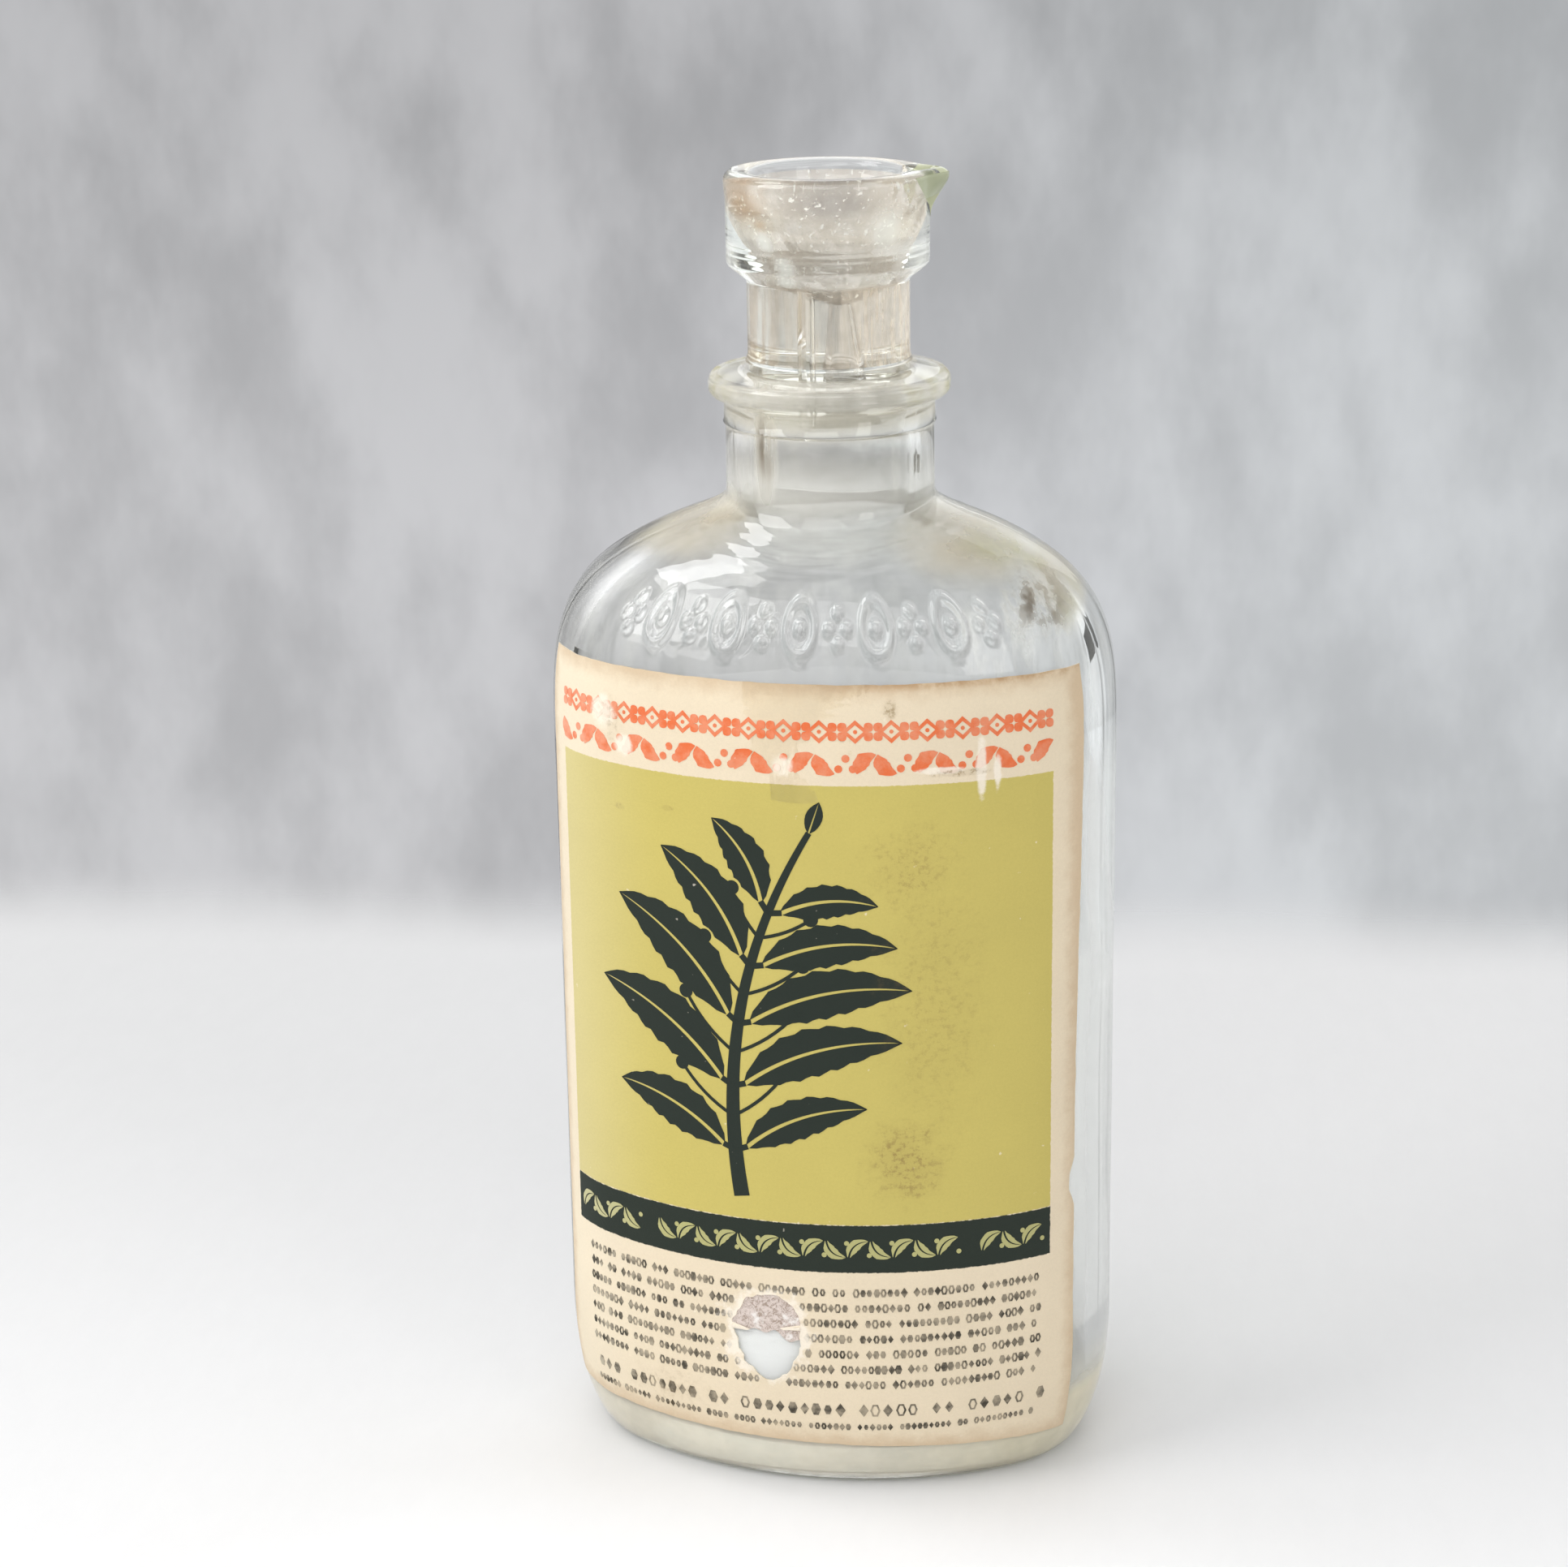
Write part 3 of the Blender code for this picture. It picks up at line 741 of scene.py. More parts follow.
pourer_rings += hollow_rings()
pourer_rings += [pourer_ring(radius, level, 1.25, -0.9 * mm)
                 for radius, level in arc((rim_inner + rim_round, rim_top - rim_round),
                                          (rim_round, rim_round), 170, 105, 5)]
print(len(pourer_rings), "rings in all")

# %% Waver of the bowl, and a Boolean


def bowl_waver(point):
    """How far the pressed bowl strays at a place."""
    if math.hypot(point.x, point.y) > rim_inner + 0.1 * mm or point.z < bowl_floor - 0.2 * mm:
        return Vector()
    return (Vector((0, 0, rim_top)) - point).normalized() * noise.noise(point * 140) * 0.2 * mm


def cut_away(blank, knife):
    """Cut one bmesh with another by an exact Boolean and return what is left."""
    items = []
    for mesh in (blank, knife):
        data = bpy.data.meshes.new("cut")
        mesh.to_mesh(data)
        mesh.free()
        items.append(bpy.data.objects.new("cut", data))
        bpy.context.scene.collection.objects.link(items[-1])
    cut = items[0].modifiers.new("cut", "BOOLEAN")
    cut.solver, cut.operation, cut.object = "EXACT", "DIFFERENCE", items[1]
    left = bmesh.new()
    left.from_object(items[0], bpy.context.evaluated_depsgraph_get())
    for item in items:
        data = item.data
        bpy.data.objects.remove(item)
        bpy.data.meshes.remove(data)
    return left


# %% Build the pourer
pourer_glass = glass_material("pourer_glass", (0.995, 0.998, 0.99), 0.1 * mm)
pourer_mesh = skin(pourer_rings, closed=True)
for vertex in pourer_mesh.verts:
    vertex.co += bowl_waver(vertex.co)
air_turn, air_offset, air_radius = math.radians(236.0), 2.7 * mm, 0.75 * mm
air_place = Vector((air_offset * math.cos(air_turn), air_offset * math.sin(air_turn),
                    (plug_foot + bowl_floor + 3 * mm) / 2))
air = bmesh.new()
bmesh.ops.create_cone(air, cap_ends=True, segments=32, radius1=air_radius, radius2=air_radius,
                      depth=bowl_floor + 5 * mm - plug_foot, matrix=Matrix.Translation(air_place))
pourer_mesh = cut_away(pourer_mesh, air)
finish_piece("glass_pourer", pourer_mesh, pourer_glass, "safety_pourer")

# %% [markdown]
# ## What the liquid left
# Decades of evaporating liquid left a pale film on the inside of the shoulder, the neck and the
# cup, and hands and shelves left dust and grime outside. Each film is a very thin closed skin just
# under a surface of the glass, so that light caught inside the glass meets it too, as it meets
# real dirt. Mostly its colour is that of the dirt and its alpha is how thickly the dirt lies at a
# place, but some pale and white places are painted light: painted highlights and reflections, and
# pale film laid on to lighten dark bands and shade.
# A ray to a lamp can pass only eight such see-through faces, so no film is longer than its dirt.

# %% Film helpers
film_deep, film_shallow = 0.09 * mm, 0.05 * mm


def film_material(name):
    """A dull film. Returns material, tree, shader, place and the place's three parts."""
    material, tree, shader = material_of(name, Roughness=0.85, IOR=1.3)
    place = node(tree, "ShaderNodeTexCoord").outputs["Object"]
    return material, tree, shader, place, node(tree, "ShaderNodeSeparateXYZ", n0=place).outputs


def spots(tree, place, *items):
    """The strongest of some soft spots in space, each a centre, a size and a strength."""
    return strongest(tree, [times(tree, ramp(tree, away(tree, place, centre, size), 1.0, 0.2),
                                  strength) for centre, size, strength in items])


def coat(tree, shader, colour, thick):
    """Give a film its colour and its thickness."""
    tree.links.new(colour, shader.inputs["Base Color"])
    tree.links.new(thick, shader.inputs["Alpha"])


def film_skin(name, down, back, material, waver=None):
    """A closed thin skin down one set of rings and back along another."""
    film = skin(down + list(reversed(back)), closed=True)
    if waver:
        for vertex in film.verts:
            vertex.co += waver(vertex.co)
    finish_piece(name, film, material)


# %% Colour and thickness of the film in the bottle
bottle_film, tree, shader, place, sides = film_material("bottle_film")
smear = cloud(tree, stretched(tree, place, (1, 1, 0.12)), 420.0, 4.0, 0.6)
throat = ramp(tree, sides["Z"], 121 * mm, 125 * mm)
# Painted lightness: waist thickens the pale film where the shoulder turns into the neck, and
# plugged thickens it over the collar above the foot of the plug, to lighten a dark band and the
# shade of the plug's foot.
waist = times(tree, ramp(tree, sides["Z"], 108 * mm, 113 * mm),
              ramp(tree, sides["Z"], 119 * mm, 115 * mm))
plugged = ramp(tree, sides["Z"], pourer_low.z - 1.5 * mm, pourer_low.z + 0.5 * mm)
browned = spots(tree, place, ((24.5, -7, 105.5), (6, 9, 6), 1.0))
runnel = spots(tree, place, ((-5.2, -7.1, 121.5), (1.7, 3.0, 7.5), 1.0))
brown = strongest(tree, [times(tree, browned, ramp(tree, smear, 0.38, 0.6)),
                         times(tree, runnel, ramp(tree, smear, 0.25, 0.5))])
# Whitish film and a painted highlight: the narrow white streak up the front right of the neck is a
# painted highlight, and the broad white spot lower on the right of the shoulder is whitish film.
whitish_film_and_painted_glints = spots(tree, place, ((22, -12, 101), (8, 9, 7), 1.0), ((7.6, -4.6, 120), (1.5, 2.5, 8), 1.0))
whitish_film_and_painted_glints = times(tree, whitish_film_and_painted_glints, ramp(tree, smear, 0.45, 0.7))
colour = layered(tree, (0.80, 0.78, 0.72, 1), (throat, (0.86, 0.80, 0.68, 1)),
                 (whitish_film_and_painted_glints, (0.95, 0.95, 0.93, 1)), (brown, (0.15, 0.11, 0.07, 1)))
thick = pile(tree, 0.03, (ramp(tree, smear, 0.4, 0.8), 0.07), (brown, 0.85), (whitish_film_and_painted_glints, 0.30),
             (throat, 0.05), (waist, 0.14), (plugged, 0.15))
coat(tree, shader, colour, thick)
print("film in the bottle:", len(tree.nodes), "nodes")

# %% Skin of the film in the bottle
film_skin("film_in_bottle", cavity_rings(film_deep)[:-2], cavity_rings(film_shallow)[:-2],
          bottle_film, lambda point: inner_waver(point) if point.z < inner_neck else Vector())

# %% Colour of the dirt outside, and painted light
outer_film, tree, shader, place, sides = film_material("outer_film")
patchy = cloud(tree, place, 170.0, 3.0, 0.55)
grainy = cloud(tree, place, 1600.0, 3.0, 0.7)
beige = spots(tree, place, ((-14.5, -5, 114.5), (11, 14, 7), 1.0),
              ((17, -5, 112.5), (12, 14, 7), 1.0), ((26, -2, 108), (6, 12, 5), 0.8))
green = spots(tree, place, ((21, -4, 110.8), (10, 8, 3.6), 1.0),
              ((27.5, -5, 105), (2.6, 7, 7), 1.0), ((-20, -3, 111), (6, 8, 3), 0.5))
green = times(tree, green, ramp(tree, patchy, 0.25, 0.68))
to_right = ramp(tree, sides["X"], 5 * mm, 24 * mm)
heel_colour = mix(tree, to_right, (0.97, 0.91, 0.78, 1), (1.0, 0.93, 0.75, 1))
# Partly painted light: the near-white band round the foot of the neck is pale film that also stands
# for glints and lightens a dark band there.
junction = times(tree, ramp(tree, sides["Z"], 113.5 * mm, 118 * mm),
                 ramp(tree, sides["Z"], 124 * mm, 118.5 * mm))
colour = layered(tree, (0.47, 0.41, 0.30, 1), (green, (0.38, 0.36, 0.19, 1)),
                 (ramp(tree, sides["Z"], 96 * mm, 88 * mm), (0.96, 0.96, 0.95, 1)),
                 (ramp(tree, sides["Z"], 11.5 * mm, 9 * mm), heel_colour),
                 (junction, (0.98, 0.95, 0.88, 1)))
print("colour of the dirt outside:", len(tree.nodes), "nodes")

# %% Thickness of the dirt outside, and painted light
beige = times(tree, beige, linear(tree, ramp(tree, patchy, 0.25, 0.75), 0.34, 0.24))
beige = times(tree, beige, linear(tree, grainy, 0.6, 0.7))
heel_dirt = times(tree, ramp(tree, sides["Z"], 13 * mm, 8 * mm),
                  linear(tree, ramp(tree, patchy, 0.3, 0.7), 0.14, 0.42))
heel_dirt = times(tree, heel_dirt, ramp(tree, sides["Z"], 0.2 * mm, 1.5 * mm))
# Painted light: a white film low on the right side of the body stands for the bright table seen
# through the glass there.
painted_side_light = times(tree, ramp(tree, sides["X"], 24 * mm, 29 * mm),
                  ramp(tree, sides["Z"], 92 * mm, 82 * mm))
behind_tear = spots(tree, place, ((-5, -22, 19), (8, 5, 9), 0.62))
coat(tree, shader, colour, strongest(tree, [
    linear(tree, green, 0.34, beige), heel_dirt, times(tree, painted_side_light, 0.18), behind_tear,
    times(tree, junction, 0.20)]))
print("dirt outside:", len(tree.nodes), "nodes")

# %% Skin of the dirt outside and of painted light


def outer_rings(depth):
    """The outside from the standing ring to the neck, a little way into the glass."""
    made = []
    for step in range(2, 17):
        angle = math.pi / 2 * step / 16
        made.append(section(heel_height * (1 - math.cos(angle)) + depth * math.cos(angle), 1.0,
                            heel_inset * (1 - math.sin(angle)) + depth))
    made += [section(level, 1.0, depth) for level in spread(heel_height, shoulder_start, 8)]
    made += [section(shoulder_start + climb - depth, shoulder_share(climb, shoulder_rise), depth,
                     neck_radius - depth) for climb in shoulder_levels(shoulder_rise, 30)[2:]]
    return made + [circle(level, neck_radius - depth)
                   for level in spread(neck_foot - 0.1 * mm, neck_foot + 7.5 * mm, 5)]


film_skin("film_on_glass", outer_rings(0.30 * mm), outer_rings(0.26 * mm), outer_film)

# %% Film on the floor
base_film, tree, shader, place, sides = film_material("base_film")
patchy = cloud(tree, place, 160.0, 4.0, 0.6)
to_right = ramp(tree, sides["X"], 5 * mm, 22 * mm)
# Partly painted highlight: the film on the floor turns pale to the right, where the base shows a
# light highlight.
colour = layered(tree, (0.60, 0.56, 0.44, 1), (to_right, (0.92, 0.85, 0.66, 1)),
                 (ramp(tree, sides["Z"], 13 * mm, 17 * mm), (0.93, 0.93, 0.92, 1)))
coat(tree, shader, colour, times(tree, ramp(tree, sides["Z"], 15 * mm, 8 * mm),
                                 linear(tree, ramp(tree, patchy, 0.3, 0.7), 0.15, 0.28)))


def floor_rings(outward=0.0):
    """The foot of the inner wall, the heel and the floor, a little way into the glass."""
    made = [section(level, 1.0, wall - outward) for level in (17 * mm, 14 * mm, 11.5 * mm)]
    for step in range(9):
        angle = math.pi / 2 * step / 8
        made.append(section(floor_thickness - outward + inner_heel * (1 - math.sin(angle)), 1.0,
                            wall - outward + inner_heel * (1 - math.cos(angle))))
    return made + [section(floor_thickness - outward, share, wall + inner_heel)
                   for share in (0.6, 0.25, 0.04)]


film_skin("film_on_floor", floor_rings(film_deep), floor_rings(film_shallow), base_film,
          inner_waver)

# %% Film on the collar
collar_film, tree, shader, place, sides = film_material("collar_film")
patchy = ramp(tree, cloud(tree, place, 420.0, 4.0, 0.6), 0.35, 0.65)
flank = ramp(tree, size_of(tree, sides["X"]), 7 * mm, 13 * mm)
colour = mix(tree, times(tree, flank, patchy), (0.97, 0.94, 0.87, 1), (0.60, 0.56, 0.32, 1))
coat(tree, shader, colour, pile(tree, 0.07, (patchy, 0.08), (flank, 0.14)))
collar_line = arc((collar_radius - 1.1 * mm, collar_foot + lip_height * 0.5),
                  (1.1 * mm, 1.3 * mm), -60, 60, 8)
collar_line += [(collar_radius - 1.6 * mm, mouth_level - 0.5 * mm),
                (bore_radius + 1.2 * mm, mouth_level - 0.12 * mm)]
lines = [[circle(level - depth, radius - depth) for radius, level in collar_line]
         for depth in (film_shallow, film_deep)]
film_skin("film_on_collar", *lines, collar_film)

# %% Colours of the film in the cup
cup_film, tree, shader, place, sides = film_material("cup_film")
patchy = ramp(tree, cloud(tree, place, 260.0, 5.0, 0.65), 0.3, 0.7)
specks = ramp(tree, cloud(tree, place, 1900.0, 2.0, 0.6), 0.60, 0.68)
top = rim_top / mm
beak_middle = (cup_radius / mm + 0.5) * Vector((math.cos(beak_turn), math.sin(beak_turn)))
in_beak = spots(tree, place, ((*beak_middle, top - 2.0), (4.5, 5.5, 8.0), 1.0))
rust = spots(tree, place, ((-8.5, -4.0, top - 3.2), (5.0, 7.0, 3.6), 1.0),
             ((-6.0, -5.5, top - 5.8), (1.5, 2.0, 1.6), 1.0))
shady = spots(tree, place, ((2.5, -8.5, top - 2.8), (9.0, 5.0, 3.2), 1.0))
# Painted reflections: these white spots stand for the soft reflection of the window on the left of
# the cup and for a bright glint on its right.
whitish_film_and_painted_glints = spots(tree, place, ((-5.5, -5.0, top - 8.0), (2.2, 3.0, 2.6), 1.0),
              ((-3.5, -5.0, top - 10.5), (2.2, 2.5, 2.2), 1.0),
              ((6.5, -4.0, top - 6.5), (3.0, 4.0, 4.5), 0.6))
colour = layered(tree, (0.80, 0.71, 0.61, 1), (patchy, (0.62, 0.53, 0.43, 1)),
                 (times(tree, rust, 0.8), (0.46, 0.30, 0.17, 1)), (shady, (0.34, 0.29, 0.25, 1)),
                 (whitish_film_and_painted_glints, (0.95, 0.95, 0.93, 1)), (specks, (0.95, 0.93, 0.88, 1)),
                 (in_beak, (0.36, 0.39, 0.22, 1)))
print("colours in the cup:", len(tree.nodes), "nodes")

# %% Thickness and skin of the film in the cup
in_bowl = ramp(tree, sides["Z"], bowl_floor - 1 * mm, bowl_floor + 2 * mm)
thick = pile(tree, times(tree, in_bowl, linear(tree, patchy, 0.10, 0.08)),
             (specks, 0.14), (rust, 0.20), (shady, 0.22), (whitish_film_and_painted_glints, 0.30))
thick = maths(tree, "MAXIMUM", maths(tree, "ADD", thick, 0.06), times(tree, in_beak, 0.85))
coat(tree, shader, colour, thick)
film_skin("film_in_cup", hollow_rings(film_deep), hollow_rings(film_shallow), cup_film, bowl_waver)

# %% Film round the stem and the foot of the cup
stem_film, tree, shader, place, sides = film_material("stem_film")
dull = mix(tree, ramp(tree, sides["X"], -6 * mm, 3 * mm), (0.48, 0.39, 0.29, 1),
           (0.94, 0.83, 0.69, 1))
colour = mix(tree, ramp(tree, cloud(tree, place, 900.0), 0.35, 0.65),
             mix(tree, 1.0, dull, (0.82, 0.80, 0.77, 1), "MULTIPLY"), dull)
streak = ramp(tree, cloud(tree, stretched(tree, place, (1, 1, 0.1)), 900.0, 3.0, 0.6), 0.35, 0.65)
flank = ramp(tree, size_of(tree, sides["X"]), 2.0 * mm, 7.0 * mm)
on_stem = times(tree, linear(tree, flank, 0.14, 0.16), linear(tree, streak, 0.9, 0.4))
on_cup = ramp(tree, sides["Z"], stem_top + 0.6 * mm, corner - 0.6 * mm)
cup_flank = ramp(tree, size_of(tree, sides["X"]), 8.2 * mm, 10.4 * mm)
cup_foot = times(tree, ramp(tree, sides["Z"], corner + 3.2 * mm, corner + 1.6 * mm),
                 linear(tree, cup_flank, 0.26, 0.03))
stem_only = times(tree, on_stem, ramp(tree, sides["Z"], stem_top + 1.2 * mm, stem_top))
coat(tree, shader, mix(tree, on_cup, colour, (0.96, 0.96, 0.93, 1)),
     linear(tree, on_cup, cup_foot, stem_only))
stem_line = [(stem_radius, stem_foot + 0.3 * mm), (stem_radius, (stem_foot + stem_top) / 2),
             (stem_radius, stem_top - 0.6 * mm), (stem_radius + 0.02 * mm, stem_top + 0.6 * mm),
             (cup_radius - 0.4 * mm, corner - 0.5 * mm),
             (cup_radius - 0.03 * mm, corner + 0.1 * mm),
             (cup_radius, corner + 1.5 * mm), (cup_radius, corner + 3.3 * mm)]
lines = [[pourer_ring(radius - depth, level) for radius, level in stem_line]
         for depth in (film_deep, film_shallow)]
film_skin("film_in_stem", *lines, stem_film)

# %% Stain on the beak
beak_film, tree, shader, place, sides = film_material("beak_film")
tree.links.new(mix(tree, cloud(tree, place, 700.0, 4.0, 0.6), (0.38, 0.41, 0.24, 1),
                   (0.52, 0.53, 0.37, 1)), shader.inputs["Base Color"])
shader.inputs["Alpha"].default_value = 0.8
stain = bmesh.new()
bmesh.ops.create_grid(stain, x_segments=28, y_segments=14, size=0.5)
for vertex in stain.verts:
    turn = beak_turn + math.radians(32) * 2 * vertex.co.x
    low = rim_top - 0.6 * mm - 4.9 * mm * (1 - abs(2 * vertex.co.x)) ** 0.8
    level = low + (rim_top - 0.5 * mm - low) * (vertex.co.y + 0.5)
    reach = cup_radius + 0.1 * mm - film_deep + beak_reach * beak_at(level) * beak_share(turn)
    vertex.co = (reach * math.cos(turn), reach * math.sin(turn), level)
bmesh.ops.recalc_face_normals(stain, faces=stain.faces)
bmesh.ops.solidify(stain, geom=stain.faces[:], thickness=0.04 * mm)
finish_piece("stain_on_beak", stain, beak_film)

# %% [markdown]
# ## The resin
# What holds the pourer is a thin bed of clear resin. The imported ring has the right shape, so it
# stays and only gets a material. Resin wets the glass on both sides, so light passes it without
# bending: a faint warm haze is all there is to see.

# %% Resin material
resin, tree, shader = material_of("old_resin", Base_Color=(0.80, 0.74, 0.62, 1), Roughness=0.5,
                                  IOR=1.3)
place = node(tree, "ShaderNodeTexCoord").outputs["Object"]
haze = linear(tree, ramp(tree, cloud(tree, place, 300.0), 0.3, 0.7), 0.12, 0.06)
tree.links.new(haze, shader.inputs["Alpha"])
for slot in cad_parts["cement_ring"].material_slots:
    slot.material = resin

# %% [markdown]
# ## The label sheet
# The label is a real sheet of paper: a grid drawn flat, in millimetres along the glass and up it,
# from which the torn hole is cut, and then wrapped on the bottle. Working flat first keeps every
# motif simple to draw, and the flat places become the UV map that ink and stains follow.

# %% From flat to wrapped
label_left, label_right = -36.5 * mm, 33.1 * mm
foot_dip = 2.0 * mm
label_foot, label_head = label_low.z, label_high.z
label_width = label_right - label_left
label_middle = (label_left + label_right) / 2
paper_lift = 0.12 * mm


def outer_point(run, level, lift):
    """A point over the outer skin of the bottle, from its place along the skin and its level."""
    base, normal = oval_point(run)
    climb = level - shoulder_start
    share = shoulder_share(climb, shoulder_rise)
    slope = (share - shoulder_share(climb + 0.5 * mm, shoulder_rise)) / (0.5 * mm)
    point = Vector((base.x * share, base.y * share, level)) - normal * heel_draw(level)
    slope = slope * base.dot(normal) + (heel_draw(level + 0.5 * mm) - heel_draw(level)) / (0.5 * mm)
    return point + Vector((normal.x, normal.y, slope)).normalized() * (lift + outer_waver(point))


def wrap(sheet, low, high):
    """Give a flat sheet its UV map and a thickness from low to high, and lay it on the glass."""
    bmesh.ops.remove_doubles(sheet, verts=sheet.verts, dist=0.004 * mm)
    bmesh.ops.recalc_face_normals(sheet, faces=sheet.faces)
    if sheet.faces and sum(face.normal.z * face.calc_area() for face in sheet.faces) < 0:
        bmesh.ops.reverse_faces(sheet, faces=sheet.faces)
    for vertex in sheet.verts:
        vertex.co.z += high
    bmesh.ops.solidify(sheet, geom=sheet.faces[:], thickness=high - low)
    chart = sheet.loops.layers.uv.new("sheet")
    for face in sheet.faces:
        for loop in face.loops:
            loop[chart].uv = loop.vert.co.xy
    for vertex in sheet.verts:
        vertex.co = outer_point(*vertex.co)


# %% [markdown]
# The tear is an uneven round hole whose rim is known at a few angles. The grid is made finer
# around it, the faces inside it go, and the vertices that border the hole move onto the rim.

# %% Cut the tear
tear_place = Vector((-4.8 * mm, 20.3 * mm, 0))
tear_reach = [3.9, 5.0, 5.2, 4.7, 3.9, 4.2, 5.6, 4.6]


def tear_radius(angle):
    """Distance from the middle of the tear to its rim, with a fibrous waver."""
    turn = (angle / (2 * math.pi)) % 1.0 * len(tear_reach)
    index = int(turn)
    first, second = tear_reach[index % 8], tear_reach[(index + 1) % 8]
    reach = first + (second - first) * (turn - index)
    rough = noise.noise(Vector((math.cos(angle) * 3, math.sin(angle) * 3, 0.5))) * 0.5
    return (reach + rough + noise.noise(Vector((angle * 7, 2.0, 0))) * 0.22) * mm


def in_tear(point, margin=0.0):
    """Whether a flat point lies inside the tear, or within a margin of it."""
    off = point - tear_place
    return off.xy.length < tear_radius(math.atan2(off.y, off.x)) + margin


# %% A grid with a hole
label = bmesh.new()
bmesh.ops.create_grid(label, x_segments=70, y_segments=92, size=0.5)
bmesh.ops.scale(label, verts=label.verts, vec=(label_width, label_head - label_foot, 1))
bmesh.ops.translate(label, verts=label.verts,
                    vec=(label_middle, (label_foot + label_head) / 2, 0))
for margin in (2.0 * mm, 1.0 * mm):
    near = {edge for face in label.faces if in_tear(face.calc_center_median(), margin)
            for edge in face.edges}
    bmesh.ops.subdivide_edges(label, edges=list(near), cuts=1, use_grid_fill=True)
inside = [face for face in label.faces if in_tear(face.calc_center_median())]
bmesh.ops.delete(label, geom=inside, context="FACES")
rim = [vertex for vertex in label.verts if vertex.is_boundary and in_tear(vertex.co, 1.5 * mm)]
for vertex in rim:
    off = vertex.co - tear_place
    angle = math.atan2(off.y, off.x)
    vertex.co = tear_place + Vector((math.cos(angle), math.sin(angle), 0)) * tear_radius(angle)
    vertex.co.z = 0.05 * mm
print("label", len(label.faces), "faces,", len(rim), "points on the rim of the tear")

# %% Worn edges and a slanted foot
for vertex in label.verts:
    x, y, z = vertex.co
    coarse, fine = noise.noise(Vector((x, y, 0)) * 500), noise.noise(Vector((x, y, 3)) * 2500)
    ragged = 0.16 * mm * abs(coarse) + 0.1 * mm * abs(fine)
    if x > label_right - 0.1 * mm:
        ragged += 0.8 * mm * swell(-abs(y - 37.0 * mm), -3.0 * mm, -1.0 * mm)
        vertex.co.x -= ragged
    elif x < label_left + 0.1 * mm:
        vertex.co.x += ragged
    if y > label_head - 0.1 * mm:
        vertex.co.y -= ragged
    elif y < label_foot + 0.1 * mm:
        vertex.co.y += ragged
    vertex.co.z += noise.noise(Vector((x, y, 7)) * 160) * 0.02 * mm
    to_right = (x - label_left) / label_width
    vertex.co.y -= foot_dip * to_right ** 2 * (1 - swell(y, label_foot, label_foot + 6 * mm))
    vertex.co.x += (1.1 * mm * swell(y, 40 * mm, label_head)
                    * swell(x, label_right - 6 * mm, label_right))
print("label", round(label_width / mm, 1), "x", round((label_head - label_foot) / mm, 1), "mm")

# %% [markdown]
# ## Old paper and ink
# One group ages whatever colour it is given. It reads the flat map of the label, so that a stain
# that starts on bare paper goes on over the ink beside it. Scuffs bare the pale fibres.

# %% Aged print: scuffs


def blots(tree, place, rough, *items):
    """The strongest of some spots with rough edges: place, half size, softness, strength."""
    made = []
    for x, y, wide, tall, soft, strength in items:
        off = maths(tree, "ADD", away(tree, place, (x, y, 0), (wide, tall, 1)), -0.8)
        spot = ramp(tree, linear(tree, rough, 1.6, off), 1.0, 1.0 - soft)
        made.append(times(tree, spot, strength))
    return strongest(tree, made)


aged, aged_in, aged_out = group_of(
    "Aged print",
    [("Place", "NodeSocketVector", None), ("Colour", "NodeSocketColor", (0.8, 0.7, 0.5, 1)),
     ("Fading", "NodeSocketFloat", 0.0)],
    [("Colour", "NodeSocketColor"), ("Height", "NodeSocketFloat"),
     ("Roughness", "NodeSocketFloat")])
place = aged_in["Place"]
patchy = cloud(aged, place, 420.0, 5.0, 0.65)
faded = times(aged, aged_in["Fading"], ramp(aged, patchy, 0.35, 0.65))
scuffs = blots(aged, place, patchy,
               (-24.9, 93.2, 2.2, 2.4, 0.5, 1.0), (-21.9, 90.0, 1.6, 1.5, 0.5, 1.0),
               (20.4, 89.4, 0.75, 4.2, 0.5, 1.0), (22.3, 88.2, 0.6, 2.4, 0.5, 1.0),
               (-2.0, 89.6, 1.7, 1.4, 0.5, 1.0), (15.8, 89.0, 3.0, 0.5, 0.5, 1.0),
               (-4.8, 20.3, 6.0, 6.6, 0.3, 1.0))
specks = ramp(aged, cloud(aged, place, 900.0, 2.0, 0.5), 0.73, 0.80)
bared = times(aged, strongest(aged, [scuffs, times(aged, specks, 0.6)]), 0.85)
colour = layered(aged, aged_in["Colour"], (faded, (0.78, 0.66, 0.48, 1)),
                 (bared, (0.86, 0.78, 0.66, 1)))
print("scuffs:", len(aged.nodes), "nodes")

# %% Aged print: brown spots and a paler left side
foxing = blots(aged, place, patchy,
               (11.6, 42.5, 6.0, 6.5, 0.8, 1.0), (12.5, 78.0, 7.0, 7.5, 0.9, 0.6),
               (15.0, 62.0, 8.0, 22.0, 0.9, 0.45), (-23.5, 92.5, 2.6, 4.0, 0.8, 0.6),
               (18.0, 88.6, 4.2, 0.5, 0.6, 1.0), (10.2, 96.2, 1.0, 1.6, 0.8, 1.0),
               (-22.8, 82.5, 1.0, 0.5, 0.6, 1.0), (-16.0, 83.4, 0.9, 0.4, 0.6, 1.0),
               (-18.0, 11.0, 8.0, 4.0, 0.9, 0.35))
dots = ramp(aged, cloud(aged, place, 1100.0, 4.0, 0.75), 0.47, 0.64)
colour = mix(aged, times(aged, foxing, linear(aged, dots, 0.52, 0.16)),
             colour, (0.24, 0.15, 0.05, 1))
sides = node(aged, "ShaderNodeSeparateXYZ", n0=place).outputs
lightness = node(aged, "ShaderNodeSeparateColor", n0=colour).outputs["Green"]
